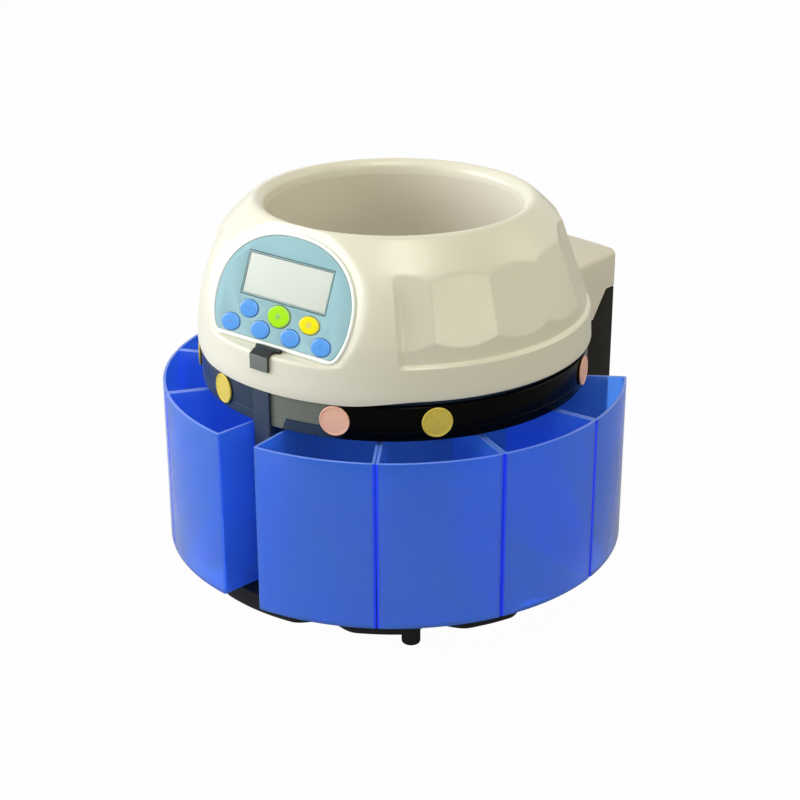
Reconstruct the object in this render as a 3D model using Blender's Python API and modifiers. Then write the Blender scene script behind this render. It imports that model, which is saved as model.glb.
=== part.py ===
"""Coin counter and sorter: a round body with eight lift-off trays, a hinged hopper housing with a
display and seven keys, a front latch, and a motor-driven feed disc.

Metres, +Z up. The origin is on the floor below the middle of the round body. -Y is the front, where
the keys are, and +X is the user's right. An azimuth is measured from the front towards the right.
"""

import math

import bmesh
import bpy
from mathutils import Matrix, Vector

# General fits and mesh steps
SEAT_GAP = 0.0003
OVERRUN = 0.004
WELD = 0.000001
TURN_STEPS = 48
ARC_STEPS = 6
SMOOTH_ANGLE = math.radians(17)

# Trays: eight wedge boxes around the drum, four on each side of the front gap
TRAY_RADIUS = 0.165
TRAY_INNER_RADIUS = 0.0935
TRAY_BOTTOM = 0.033
TRAY_HEIGHT = 0.119
TRAY_WALL = 0.002
TRAY_FLOOR = 0.002
TRAY_PITCH = math.radians(29.5)
FRONT_GAP_HALF = math.radians(5.33)
TRAYS_PER_SIDE = 4

# Base plate and feet
BASE_BOTTOM = 0.020
BASE_RADIUS = 0.150
BASE_SKIN = 0.003
BASE_POCKET_RADIUS = 0.130
NOTCH_DEPTH = 0.010
NOTCH_HALF_ANGLE = math.radians(9)
FOOT_RADIUS = 0.0065
FOOT_CHAMFER = 0.001
FOOT_CIRCLE = 0.125
FOOT_AZIMUTH = math.radians(44)
FOOT_BOSS_RADIUS = 0.009

# Inner drum, gear deck, chute ring and front pillar
DRUM_RADIUS = 0.0905
DRUM_WALL = 0.003
CHUTE_RADIUS = 0.137
CHUTE_WALL = 0.003
CHUTE_BOTTOM = 0.155
CHUTE_TOP = 0.1785
CHUTE_INNER_RADIUS = 0.086
CHUTE_RIB = 0.002
CHUTE_RIB_STEP = 0.0005
PILLAR_RADIUS = 0.1393
PILLAR_HALF_WIDTH = 0.007
GEAR_DECK_BOTTOM = 0.146
GEAR_DECK_THICKNESS = 0.003
DECK_LEDGE = 0.002

# Sorting deck with its graded coin slots
SORT_RADIUS = 0.1335
SORT_THICKNESS = 0.008
SORT_RAIL_RADIUS = 0.128
SORT_RAIL_HEIGHT = 0.004
SLOT_LENGTH = 0.030
SLOT_WIDTHS = (0.0175, 0.0190, 0.0200, 0.0210, 0.0220, 0.0235, 0.0245, 0.0265)
LATCH_NOTCH_HALF = 0.009
LATCH_NOTCH_REACH = 0.127

# Dome housing
DOME_RADIUS = 0.1389
DOME_BOTTOM = 0.183
DOME_TOP = 0.2806
DOME_WALL = 0.003
FRONT_DROP = 0.004
FRONT_DROP_HALF_ANGLE = math.radians(35)
# (share of the dome's radius, share of the height from its side edge to its top)
DOME_PROFILE_SHARES = (
    (0.692, 1.0),
    (0.7055, 0.997),
    (0.7185, 0.9885),
    (0.7315, 0.972),
    (0.7646, 0.931),
    (0.8088, 0.8705),
    (0.861, 0.789),
    (0.904, 0.6965),
    (0.937, 0.594),
    (0.963, 0.4815),
    (0.982, 0.3585),
    (0.9906, 0.2405),
)
HOPPER_RADIUS = 0.0898
LIP_WALL = 0.0034
LIP_DEPTH = 0.0095
LIP_BEVEL = 0.0042

# Side recesses of the dome: flat facets above a ledge
RECESS_START = math.radians(39)
RECESS_END = math.radians(149.6)
RECESS_LEDGE = 0.2070
RECESS_INNER_RADIUS = 0.100
COVE_RADIUS = 0.1346
FACET_SIDES = 18
FACET_DATUM_HEIGHT = 0.240
FACET_DATUM_RADIUS = 0.1261
FACET_SLOPE = 0.353

# Hopper liner and feed disc
LINER_WALL = 0.002
LINER_TOP_RADIUS = 0.0890
LINER_BOTTOM_RADIUS = 0.0840
LINER_BOTTOM = 0.1935
DISC_RADIUS = 0.086
DISC_BOTTOM = 0.1885
DISC_THICKNESS = 0.004
DISC_POCKETS = 8
POCKET_STEPS = 12
POCKET_RADIUS = 0.014
POCKET_CIRCLE = 0.066
HUB_RADIUS = 0.012
HUB_HEIGHT = 0.003
HUB_CAP_RADIUS = 0.013
HUB_CAP_HEIGHT = 0.005

# Control panel: a plane that leans back, crossing the datum height at its reach
PANEL_LEAN = math.radians(21.5)
PANEL_REACH = 0.129
PANEL_DATUM_HEIGHT = 0.200
PANEL_LEDGE = 0.2045
PANEL_HALF_WIDTH = 0.058
PANEL_HALF_HEIGHT = 0.0462
PANEL_CENTRE = 0.033
PANEL_CHORD = 0.0083
PANEL_EXPONENT = 2.2
PANEL_THICKNESS = 0.0008
RIM_WIDTH = 0.0032
RIM_PROUD = 0.0005
RIM_ROOT = 0.001
PANEL_STEPS = 22
PANEL_CUT_HALF_WIDTH = 0.080

# Display
DISPLAY_HALF_WIDTH = 0.0373
DISPLAY_LOW = 0.0351
DISPLAY_HIGH = 0.0644
WINDOW_THICKNESS = 0.002
MODULE_MARGIN = 0.003
MODULE_DEPTH = 0.006
SCREEN_MARGIN = 0.0015

# Keys: (name, row, place along the row in key pitches, half width, half height)
KEY_PITCH = 0.0265
KEY_ROWS = (0.0150, 0.0266)
KEY_PROUD = 0.0010
KEY_CHAMFER = 0.0004
KEY_TRAVEL = 0.0008
KEY_STEPS = 16
BLUE_KEY = (0.0081, 0.0058)
GREEN_KEY = (0.0100, 0.0074)
YELLOW_KEY = (0.0088, 0.0059)
KEYS = (
    ("key_blue_1", 0, -1.5, BLUE_KEY),
    ("key_blue_2", 0, -0.5, BLUE_KEY),
    ("key_blue_3", 0, 0.5, BLUE_KEY),
    ("key_blue_4", 0, 1.5, BLUE_KEY),
    ("key_blue_5", 1, -1.0, BLUE_KEY),
    ("key_green", 1, 0.0, GREEN_KEY),
    ("key_yellow", 1, 1.0, YELLOW_KEY),
)
BOARD_THICKNESS = 0.0016
KEYBOARD_HALF_WIDTH = 0.052
KEYBOARD_LOW = 0.0080
KEYBOARD_HIGH = 0.0345

# Front latch
LATCH_HALF_WIDTH = 0.008
LATCH_PLATE = 0.0016
LATCH_FACE_REACH = 0.1387
LATCH_FACE_BOTTOM = 0.1935
LATCH_PIVOT_REACH = 0.130
LATCH_BARREL_RADIUS = 0.0016
LATCH_BARREL_HALF = 0.0105
LATCH_ARM_HALF = 0.005
LATCH_ARM_THICKNESS = 0.0018
LATCH_ARM_BOTTOM = 0.1830
LATCH_NOSE_HEIGHT = 0.0025
LATCH_SLOT_REACH = 0.1345

# Rear block: a post on the base, and a cover that lifts with the dome
BLOCK_HALF_WIDTH = 0.0825
BLOCK_BACK = 0.161
BLOCK_CORNER = 0.005
POST_FRONT = 0.0925
POST_WALL = 0.003
POST_TOP = 0.1885
COVER_TOP = 0.2147
COVER_BOTTOM = 0.190
COVER_WALL = 0.0025
COVER_FRONT = 0.095
COVER_STEP_BACK = 0.1468
COVER_STEP_FRONT = 0.1304
COVER_SKIRT = 0.170
COVER_POST_GAP = 0.0015

# Hinge at the back edge
HINGE_Y = 0.160
HINGE_Z = 0.190
KNUCKLE_RADIUS = 0.0043
KNUCKLE_LENGTH = 0.012
KNUCKLE_START = 0.030
KNUCKLE_GAP = 0.0005
PIN_RADIUS = 0.0022
PIN_OVERHANG = 0.001
ROUND_STEPS = 14

# Drive train
MODULE = 0.0015
MAIN_TEETH = 40
IDLER_TEETH = 30
PINION_TEETH = 10
PRESSURE_ANGLE = math.radians(20)
ADDENDUM = 0.85
DEDENDUM = 1.20
TOOTH_FILL = 0.88
IDLER_DIRECTION = math.radians(-60)
MOTOR_DIRECTION = math.radians(40)
SHAFT_RADIUS = 0.004
SHAFT_BOTTOM = 0.1465
MAIN_GEAR_BOTTOM = 0.158
MAIN_GEAR_WIDTH = 0.006
MAIN_HUB_RADIUS = 0.009
MAIN_HUB_LENGTH = 0.0035
IDLER_BOTTOM = 0.151
IDLER_WIDTH = 0.004
IDLER_PIN_RADIUS = 0.002
MOTOR_RADIUS = 0.018
MOTOR_LENGTH = 0.050
BUSH_RADIUS = 0.0075
BUSH_FLANGE_RADIUS = 0.0095
BUSH_FLANGE = 0.0011

# Coin badges on the chute ring
BADGE_RADIUS = 0.0102
BADGE_THICKNESS = 0.0014
BADGE_HEIGHT = 0.168
BADGE_STEPS = 20
BADGE_SHIFT = math.radians(1.0)
BADGE_SHIFT_WIDE = math.radians(2.7)
BARE_TRAY = (1, 2)

# Electrics in the rear post, and the coin sensor
INLET_X = -0.045
INLET_Z = 0.060
INLET_FLANGE = (0.031, 0.002, 0.024)
INLET_BODY = (0.0276, 0.020, 0.0206)
INLET_SOCKET = (0.024, 0.015, 0.017)
INLET_BLADE = (0.002, 0.011, 0.004)
INLET_BLADE_PITCH = 0.007
SWITCH_X = 0.045
SWITCH_Z = 0.060
SWITCH_FLANGE = (0.015, 0.0018, 0.0225)
SWITCH_BODY = (0.0136, 0.0135, 0.0204)
ROCKER_HALF_WIDTH = 0.0049
ROCKER_HALF_HEIGHT = 0.0075
ROCKER_END_REACH = 0.0058
ROCKER_MIDDLE_REACH = 0.0040
ROCKER_BACK_REACH = 0.0045
ROCKER_BACK_HALF = 0.0055
ROCKER_PIVOT_Y = 0.1590
ROCKER_TILT = math.radians(8)
ROCKER_AXLE_RADIUS = 0.0012
ROCKER_AXLE_HALF = 0.0060
ROCKER_SWEEP = 0.0088
MAIN_BOARD_Y = 0.112
MAIN_BOARD_SIZE = (0.120, BOARD_THICKNESS, 0.095)
SUPPLY_SIZE = (0.040, 0.026, 0.042)
SUPPLY_Y = 0.140
SENSOR_SIZE = (0.016, 0.012, 0.009)
SENSOR_REACH = 0.112
SCREW_X = 0.068
SCREW_Z = 0.160
SCREW_HEAD_RADIUS = 0.003
SCREW_HEAD = 0.0018
SCREW_SHANK_RADIUS = 0.0015
SCREW_SHANK = 0.0026

# Heights and places that follow from the values above
BASE_TOP = TRAY_BOTTOM - SEAT_GAP
TRAY_TOP = TRAY_BOTTOM + TRAY_HEIGHT
DOME_HEIGHT = DOME_TOP - DOME_BOTTOM
SORT_BOTTOM = CHUTE_TOP + SEAT_GAP
SORT_TOP = SORT_BOTTOM + SORT_THICKNESS
LINER_TOP = DOME_TOP - LIP_DEPTH - SEAT_GAP
PANEL_BACK = PANEL_THICKNESS + SEAT_GAP
WALL_BACK = PANEL_BACK + DOME_WALL
MAIN_RADIUS = MODULE * MAIN_TEETH / 2
IDLER_RADIUS = MODULE * IDLER_TEETH / 2
PINION_RADIUS = MODULE * PINION_TEETH / 2
IDLER_PLACE = Vector((math.cos(IDLER_DIRECTION), math.sin(IDLER_DIRECTION))) * (MAIN_RADIUS + PINION_RADIUS)
MOTOR_PLACE = IDLER_PLACE + Vector((math.cos(MOTOR_DIRECTION), math.sin(MOTOR_DIRECTION))) * (
    IDLER_RADIUS + PINION_RADIUS
)
LATCH_PIVOT_Z = PANEL_LEDGE + SEAT_GAP + LATCH_PLATE / 2
MAIN_TURN_PHASE = IDLER_DIRECTION

COLOURS = {
    "housing": ((0.86, 0.84, 0.76, 1), 0.38, 0.0),
    "hopper": ((0.62, 0.56, 0.45, 1), 0.45, 0.0),
    "cover": ((0.76, 0.70, 0.58, 1), 0.42, 0.0),
    "panel": ((0.38, 0.60, 0.62, 1), 0.35, 0.0),
    "display": ((0.70, 0.76, 0.66, 1), 0.15, 0.0),
    "blue_key": ((0.13, 0.39, 0.94, 1), 0.35, 0.0),
    "green_key": ((0.31, 0.72, 0.02, 1), 0.35, 0.0),
    "yellow_key": ((0.94, 0.87, 0.0, 1), 0.35, 0.0),
    "black": ((0.012, 0.012, 0.014, 1), 0.22, 0.0),
    "slate": ((0.035, 0.042, 0.052, 1), 0.35, 0.0),
    "tray": ((0.05, 0.14, 0.85, 1), 0.18, 0.0),
    "rubber": ((0.02, 0.02, 0.02, 1), 0.8, 0.0),
    "steel": ((0.55, 0.55, 0.56, 1), 0.3, 1.0),
    "bronze": ((0.50, 0.33, 0.15, 1), 0.35, 1.0),
    "gold": ((0.62, 0.42, 0.08, 1), 0.32, 1.0),
    "copper": ((0.72, 0.30, 0.17, 1), 0.34, 1.0),
    "board": ((0.03, 0.22, 0.10, 1), 0.5, 0.0),
    "gear": ((0.80, 0.80, 0.76, 1), 0.45, 0.0),
}


def start_empty_scene():
    for old in list(bpy.data.objects):
        bpy.data.objects.remove(old)
    shown = bpy.data.collections.new("coin_counter")
    hidden = bpy.data.collections.new("cutters")
    for collection in (shown, hidden):
        bpy.context.scene.collection.children.link(collection)
    return shown, hidden


PARTS, CUTTERS = start_empty_scene()


def finish_named(name):
    """One Principled BSDF material for each finish in the table."""
    if name in bpy.data.materials:
        return bpy.data.materials[name]
    colour, roughness, metallic = COLOURS[name]
    made = bpy.data.materials.new(name)
    made.use_nodes = True
    shader = made.node_tree.nodes["Principled BSDF"]
    shader.inputs["Base Color"].default_value = colour
    shader.inputs["Roughness"].default_value = roughness
    shader.inputs["Metallic"].default_value = metallic
    made.diffuse_color = colour
    return made


def place(obj, finish):
    """Shows a finished piece with its material and smooth round sides."""
    obj.data.materials.clear()
    obj.data.materials.append(finish_named(finish))
    obj.data.shade_smooth()
    obj.data.set_sharp_from_angle(angle=SMOOTH_ANGLE)
    return obj


def new_object(name, mesh, matrix=None):
    obj = bpy.data.objects.new(name, mesh)
    PARTS.objects.link(obj)
    if matrix is not None:
        obj.matrix_world = matrix
    return obj


def prism(name, loops, low, high, matrix=None):
    """A flat outline, with any holes as further loops, raised from low to high along its own Z."""
    outline = bpy.data.curves.new(name + "_outline", "CURVE")
    outline.dimensions = "2D"
    outline.fill_mode = "BOTH"
    outline.extrude = (high - low) / 2
    for loop in loops:
        spline = outline.splines.new("POLY")
        spline.points.add(len(loop) - 1)
        for point, (x, y) in zip(spline.points, loop):
            point.co = (x, y, 0, 1)
        spline.use_cyclic_u = True
    flat = new_object(name + "_outline", outline)
    bpy.context.view_layer.update()
    seen = flat.evaluated_get(bpy.context.evaluated_depsgraph_get())
    mesh = bpy.data.meshes.new_from_object(seen)
    bpy.data.objects.remove(flat)
    shape = bmesh.new()
    shape.from_mesh(mesh)
    bmesh.ops.remove_doubles(shape, verts=shape.verts, dist=WELD)
    bmesh.ops.translate(shape, verts=shape.verts, vec=(0, 0, (low + high) / 2))
    bmesh.ops.recalc_face_normals(shape, faces=shape.faces)
    shape.to_mesh(mesh)
    shape.free()
    return new_object(name, mesh, matrix)


def turned(name, profile, steps=TURN_STEPS, matrix=None):
    """A profile of (radius, height) turned about Z. It runs down the outer side. It is a closed loop,
    unless both ends lie on the axis."""
    mesh = bpy.data.meshes.new(name)
    count = len(profile)
    on_axis = profile[0][0] == 0 and profile[-1][0] == 0
    edges = [(i, i + 1) for i in range(count - 1)]
    if not on_axis:
        edges.append((count - 1, 0))
    mesh.from_pydata([(radius, 0, height) for radius, height in profile], edges, [])
    obj = new_object(name, mesh, matrix)
    screw = obj.modifiers.new("turn", "SCREW")
    screw.steps = steps
    screw.render_steps = steps
    screw.use_merge_vertices = True
    screw.merge_threshold = WELD
    screw.use_smooth_shade = False
    return obj


def box(name, size, centre, matrix=None):
    mesh = bpy.data.meshes.new(name)
    shape = bmesh.new()
    bmesh.ops.create_cube(shape, size=1)
    bmesh.ops.scale(shape, vec=size, verts=shape.verts)
    bmesh.ops.translate(shape, vec=centre, verts=shape.verts)
    shape.to_mesh(mesh)
    shape.free()
    return new_object(name, mesh, matrix)


def rod(name, radius, start, end, steps=ROUND_STEPS):
    """A round bar from one point to another."""
    start, end = Vector(start), Vector(end)
    along = end - start
    turn = along.to_track_quat("Z", "Y").to_matrix().to_4x4()
    mesh = bpy.data.meshes.new(name)
    shape = bmesh.new()
    bmesh.ops.create_cone(
        shape, cap_ends=True, segments=steps, radius1=radius, radius2=radius, depth=along.length
    )
    bmesh.ops.transform(shape, matrix=Matrix.Translation((start + end) / 2) @ turn, verts=shape.verts)
    shape.to_mesh(mesh)
    shape.free()
    return new_object(name, mesh)


def combine(target, tool, operation):
    """A Boolean that keeps its second shape as a hidden guide."""
    step = target.modifiers.new(operation.lower() + "_" + tool.name, "BOOLEAN")
    step.operation = operation
    step.solver = "EXACT"
    step.object = tool
    tool.hide_render = True
    tool.display_type = "WIRE"
    PARTS.objects.unlink(tool)
    CUTTERS.objects.link(tool)
    return target


def cut(target, *tools):
    for tool in tools:
        combine(target, tool, "DIFFERENCE")
    return target


def join(target, *tools):
    for tool in tools:
        combine(target, tool, "UNION")
    return target


def round_edges(obj, chosen, width, segments):
    """Rounds the edges of a plain mesh whose two ends pass a test."""
    shape = bmesh.new()
    shape.from_mesh(obj.data)
    edges = [e for e in shape.edges if all(chosen(v.co) for v in e.verts)]
    bmesh.ops.bevel(
        shape, geom=edges, offset=width, segments=segments, profile=0.5, affect="EDGES", clamp_overlap=True
    )
    shape.to_mesh(obj.data)
    shape.free()
    return obj


def carry(name, location, children):
    """An empty on a joint's axis that carries the pieces of one moving body."""
    empty = bpy.data.objects.new(name, None)
    empty.empty_display_size = SHAFT_RADIUS
    empty.location = location
    PARTS.objects.link(empty)
    bpy.context.view_layer.update()
    for child in children:
        child.parent = empty
        child.matrix_parent_inverse = empty.matrix_world.inverted()
    return empty


def polar(radius, azimuth):
    return (radius * math.sin(azimuth), -radius * math.cos(azimuth))


def sector(inner, outer, centre, half_angle, side_inset=0.0, steps=ARC_STEPS):
    """A ring sector whose straight sides stand in by side_inset from the radial lines."""
    points = []
    for radius, way in ((outer, 1), (inner, -1)):
        spread = half_angle - math.asin(side_inset / radius)
        for i in range(steps + 1):
            points.append(polar(radius, centre + way * spread * (2 * i / steps - 1)))
    return points


def circle(radius, steps, centre=(0.0, 0.0)):
    turns = [2 * math.pi * i / steps for i in range(steps)]
    return [(centre[0] + radius * math.cos(t), centre[1] + radius * math.sin(t)) for t in turns]


def rectangle(half_x, low_y, high_y):
    return [(-half_x, low_y), (half_x, low_y), (half_x, high_y), (-half_x, high_y)]


# Turns a prism's own X, Y, Z into the world's Y, Z, X
ALONG_X = Matrix(((0, 0, 1, 0), (1, 0, 0, 0), (0, 1, 0, 0), (0, 0, 0, 1)))


def tray_azimuth(side, index):
    """The middle of a tray's sector: side is 1 on the right and -1 on the left."""
    return side * (FRONT_GAP_HALF + TRAY_PITCH * (index + 0.5))


def tray_places():
    return [(side, index) for side in (1, -1) for index in range(TRAYS_PER_SIDE)]


def side_name(side):
    return "right" if side > 0 else "left"


# Trays

def make_tray(side, index):
    name = f"tray_{side_name(side)}_{index + 1}"
    azimuth = tray_azimuth(side, index)
    outside = sector(TRAY_INNER_RADIUS, TRAY_RADIUS, azimuth, TRAY_PITCH / 2, SEAT_GAP)
    inside = sector(
        TRAY_INNER_RADIUS + TRAY_WALL,
        TRAY_RADIUS - TRAY_WALL,
        azimuth,
        TRAY_PITCH / 2,
        SEAT_GAP + TRAY_WALL,
    )
    tray = prism(name, [outside], TRAY_BOTTOM, TRAY_TOP)
    cut(tray, prism(name + "_inside", [inside], TRAY_BOTTOM + TRAY_FLOOR, TRAY_TOP + OVERRUN))
    place(tray, "tray")
    x, y = polar(TRAY_INNER_RADIUS, azimuth)
    carry(name + "_slide", (x, y, TRAY_BOTTOM), [tray])


# Base plate and feet

def base_outline():
    """A disc with a finger notch below each tray, and a square end below the rear post."""
    points = []
    corner = math.pi - math.asin(BLOCK_HALF_WIDTH / BASE_RADIUS)
    steps = TURN_STEPS
    for i in range(-steps, steps + 1):
        azimuth = corner * i / steps
        depth = 0.0
        for side, index in tray_places():
            away = abs(azimuth - tray_azimuth(side, index)) / NOTCH_HALF_ANGLE
            if away < 1:
                depth = NOTCH_DEPTH * (1 + math.cos(math.pi * away)) / 2
        points.append(polar(BASE_RADIUS - depth, azimuth))
    right = rounded_corner(BLOCK_HALF_WIDTH, BLOCK_BACK, BLOCK_CORNER)
    return points + right + [(-x, y) for x, y in reversed(right)]


def rounded_corner(half_width, back, radius):
    """The rear right corner of a block in plan, from its side to its back."""
    turns = [math.pi / 2 * i / ARC_STEPS for i in range(ARC_STEPS + 1)]
    return [
        (half_width - radius + radius * math.cos(t), back - radius + radius * math.sin(t)) for t in turns
    ]


def foot_places():
    return [
        (f"foot_{end}_{side_name(side)}", polar(FOOT_CIRCLE, side * azimuth))
        for end, azimuth in (("front", FOOT_AZIMUTH), ("rear", math.pi - FOOT_AZIMUTH))
        for side in (1, -1)
    ]


def make_base():
    plate = prism("base_plate", [base_outline()], BASE_BOTTOM, BASE_TOP)
    pocket_top = BASE_TOP - BASE_SKIN
    pocket = prism("base_pocket", [circle(BASE_POCKET_RADIUS, TURN_STEPS)], BASE_BOTTOM - OVERRUN, pocket_top)
    cut(plate, pocket)
    for name, (x, y) in foot_places():
        boss = rod(name + "_boss", FOOT_BOSS_RADIUS, (x, y, BASE_BOTTOM), (x, y, pocket_top + BASE_SKIN / 2))
        join(plate, boss)
        height = BASE_BOTTOM - SEAT_GAP
        outline = [
            (0, height),
            (FOOT_RADIUS, height),
            (FOOT_RADIUS, FOOT_CHAMFER),
            (FOOT_RADIUS - FOOT_CHAMFER, 0),
            (0, 0),
        ]
        place(turned(name, outline, ROUND_STEPS, Matrix.Translation((x, y, 0))), "rubber")
    place(plate, "black")


# Drum, pillar, chute ring, decks

def make_drum():
    top = CHUTE_BOTTOM - SEAT_GAP
    inner = DRUM_RADIUS - DRUM_WALL
    ledge_top = GEAR_DECK_BOTTOM - SEAT_GAP
    profile = [
        (DRUM_RADIUS, top),
        (DRUM_RADIUS, TRAY_BOTTOM),
        (inner - DECK_LEDGE, TRAY_BOTTOM),
        (inner - DECK_LEDGE, ledge_top),
        (inner, ledge_top),
        (inner, top),
    ]
    place(turned("inner_drum", profile), "slate")


def make_gear_deck():
    top = GEAR_DECK_BOTTOM + GEAR_DECK_THICKNESS
    holes = [
        circle(SHAFT_RADIUS + SEAT_GAP, ROUND_STEPS),
        circle(IDLER_PIN_RADIUS + SEAT_GAP, ROUND_STEPS, IDLER_PLACE),
        circle(IDLER_PIN_RADIUS + SEAT_GAP, ROUND_STEPS, MOTOR_PLACE),
    ]
    rim = circle(DRUM_RADIUS - DRUM_WALL - SEAT_GAP, TURN_STEPS)
    place(prism("gear_deck", [rim] + holes, GEAR_DECK_BOTTOM, top), "slate")


def make_pillar():
    """Stands in the front gap between the trays, and laps over the front of the chute ring."""
    back = DRUM_RADIUS + SEAT_GAP
    front_turn = math.asin(PILLAR_HALF_WIDTH / PILLAR_RADIUS)
    back_turn = math.asin(PILLAR_HALF_WIDTH / back)
    steps = 4
    outline = [polar(PILLAR_RADIUS, front_turn * (1 - 2 * i / steps)) for i in range(steps + 1)]
    outline += [polar(back, back_turn * (2 * i / steps - 1)) for i in range(steps + 1)]
    pillar = prism("front_pillar", [outline], TRAY_BOTTOM, CHUTE_TOP)
    ring_room = rod(
        "pillar_ring_room",
        CHUTE_RADIUS + SEAT_GAP,
        (0, 0, CHUTE_BOTTOM - SEAT_GAP),
        (0, 0, CHUTE_TOP + OVERRUN),
        TURN_STEPS,
    )
    place(cut(pillar, ring_room), "slate")


def make_chute_ring():
    """A glossy band and an inner wall, tied by ribs between the trays. Coins fall between the ribs."""
    inner_wall = CHUTE_INNER_RADIUS + CHUTE_WALL
    outer_wall = CHUTE_RADIUS - CHUTE_WALL
    ring = turned(
        "chute_ring",
        [
            (CHUTE_RADIUS, CHUTE_TOP),
            (CHUTE_RADIUS, CHUTE_BOTTOM),
            (outer_wall, CHUTE_BOTTOM),
            (outer_wall, CHUTE_TOP),
        ],
    )
    wall = turned(
        "chute_inner_wall",
        [
            (inner_wall, CHUTE_TOP),
            (inner_wall, CHUTE_BOTTOM),
            (CHUTE_INNER_RADIUS, CHUTE_BOTTOM),
            (CHUTE_INNER_RADIUS, CHUTE_TOP),
        ],
    )
    middle = (inner_wall + outer_wall) / 2
    length = outer_wall - inner_wall + CHUTE_WALL
    rib_size = (CHUTE_RIB, length, CHUTE_TOP - CHUTE_BOTTOM - 2 * CHUTE_RIB_STEP)
    join(ring, wall)
    for side in (1, -1):
        for index in range(TRAYS_PER_SIDE + 1):
            turn = Matrix.Rotation(side * (FRONT_GAP_HALF + TRAY_PITCH * index), 4, "Z")
            name = f"chute_rib_{side_name(side)}_{index}"
            join(ring, box(name, rib_size, (0, -middle, (CHUTE_TOP + CHUTE_BOTTOM) / 2), turn))
    place(ring, "black")


def coin_slot(width, azimuth):
    """A slot whose outer side touches the coin rail. Only coins narrower than it fall through."""
    outer = SORT_RAIL_RADIUS - CHUTE_WALL / 2
    corners = ((-1, outer), (1, outer), (1, outer - width), (-1, outer - width))
    turn = Matrix.Rotation(azimuth, 2)
    points = [turn @ Vector((way * SLOT_LENGTH / 2, -reach)) for way, reach in corners]
    return [(p.x, p.y) for p in points]


def make_sorting_deck():
    places = sorted(tray_places(), key=lambda place_: -tray_azimuth(*place_))
    slots = [coin_slot(width, tray_azimuth(*where)) for width, where in zip(SLOT_WIDTHS, places)]
    bore = circle(BUSH_RADIUS + SEAT_GAP, ROUND_STEPS)
    deck = prism("sorting_deck", [circle(SORT_RADIUS, TURN_STEPS), bore] + slots, SORT_BOTTOM, SORT_TOP)
    rail_loops = [circle(SORT_RADIUS, TURN_STEPS), circle(SORT_RAIL_RADIUS, TURN_STEPS)]
    rail = prism("coin_rail", rail_loops, SORT_TOP - SORT_RAIL_HEIGHT, SORT_TOP + SORT_RAIL_HEIGHT)
    join(deck, rail)
    notch_reach = SORT_RADIUS + OVERRUN
    notch = box(
        "latch_notch",
        (2 * LATCH_NOTCH_HALF, notch_reach - LATCH_NOTCH_REACH, SORT_THICKNESS * 3),
        (0, -(notch_reach + LATCH_NOTCH_REACH) / 2, SORT_TOP),
    )
    place(cut(deck, notch), "slate")


# Dome housing

def dome_profile(inset, bottom):
    """The dome's outer line from the axis to its lower edge, moved in by inset."""
    line = [(0.0, DOME_TOP)]
    line += [(r * DOME_RADIUS, DOME_BOTTOM + z * DOME_HEIGHT) for r, z in DOME_PROFILE_SHARES]
    line.append((DOME_RADIUS, DOME_BOTTOM - FRONT_DROP))
    moved = [(0.0, DOME_TOP - inset)]
    for before, here, after in zip(line, line[1:], line[2:]):
        first = (Vector(here) - Vector(before)).normalized()
        second = (Vector(after) - Vector(here)).normalized()
        inward = Vector((first.y + second.y, -first.x - second.x)).normalized()
        share = inward.dot(Vector((first.y, -first.x)))
        point = Vector(here) + inward * inset / share
        moved.append((point.x, point.y))
    edge = DOME_BOTTOM - FRONT_DROP
    if bottom < edge:
        moved.append((DOME_RADIUS - inset, edge))
    moved.append((DOME_RADIUS - inset, bottom))
    moved.append((0.0, bottom))
    return moved


def facet_radius(height):
    return FACET_DATUM_RADIUS - FACET_SLOPE * (height - FACET_DATUM_HEIGHT)


def recess_cutter(name, side, inset):
    """What is taken off one side of the dome: all outside the leaning facets and the cove."""
    low, high = RECESS_LEDGE - inset, DOME_TOP + OVERRUN
    middle = side * (RECESS_START + RECESS_END) / 2
    spread = (RECESS_END - RECESS_START) / 2 + inset / COVE_RADIUS
    outline = sector(RECESS_INNER_RADIUS, DOME_RADIUS + OVERRUN, middle, spread, 0.0, TURN_STEPS // 3)
    outside = prism(name, [outline], low, high)
    core_low, core_high = low - OVERRUN, high + OVERRUN
    face_inset = inset * math.sqrt(1 + FACET_SLOPE**2)
    to_corner = math.cos(math.pi / FACET_SIDES)
    mesh = bpy.data.meshes.new(name + "_facets")
    shape = bmesh.new()
    bmesh.ops.create_cone(
        shape,
        cap_ends=True,
        segments=FACET_SIDES,
        radius1=(facet_radius(core_low) - face_inset) / to_corner,
        radius2=(facet_radius(core_high) - face_inset) / to_corner,
        depth=core_high - core_low,
    )
    turn = Matrix.Rotation(math.pi / FACET_SIDES, 4, "Z")
    lift = Matrix.Translation((0, 0, (core_low + core_high) / 2))
    bmesh.ops.transform(shape, matrix=lift @ turn, verts=shape.verts)
    shape.to_mesh(mesh)
    shape.free()
    core = new_object(name + "_facets", mesh)
    cove_radius = COVE_RADIUS - inset
    cove = rod(
        name + "_cove", cove_radius, (0, 0, core_low - OVERRUN), (0, 0, core_high + OVERRUN), TURN_STEPS
    )
    combine(core, cove, "INTERSECT")
    return cut(outside, core)


def panel_y(height, depth):
    """How far forward the plane at a depth behind the panel's face stands at a height."""
    rise = height - PANEL_DATUM_HEIGHT
    return -PANEL_REACH + rise * math.tan(PANEL_LEAN) + depth / math.cos(PANEL_LEAN)


def panel_cutter(name, inset):
    """What is taken off the dome's front: all before the panel's seat and above its ledge."""
    low, high = PANEL_LEDGE - inset, DOME_TOP + OVERRUN
    depth = PANEL_BACK + inset
    front = -(DOME_RADIUS + OVERRUN)
    side = [(panel_y(low, depth), low), (front, low), (front, high), (panel_y(high, depth), high)]
    return prism(name, [side], -PANEL_CUT_HALF_WIDTH, PANEL_CUT_HALF_WIDTH, ALONG_X)


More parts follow.
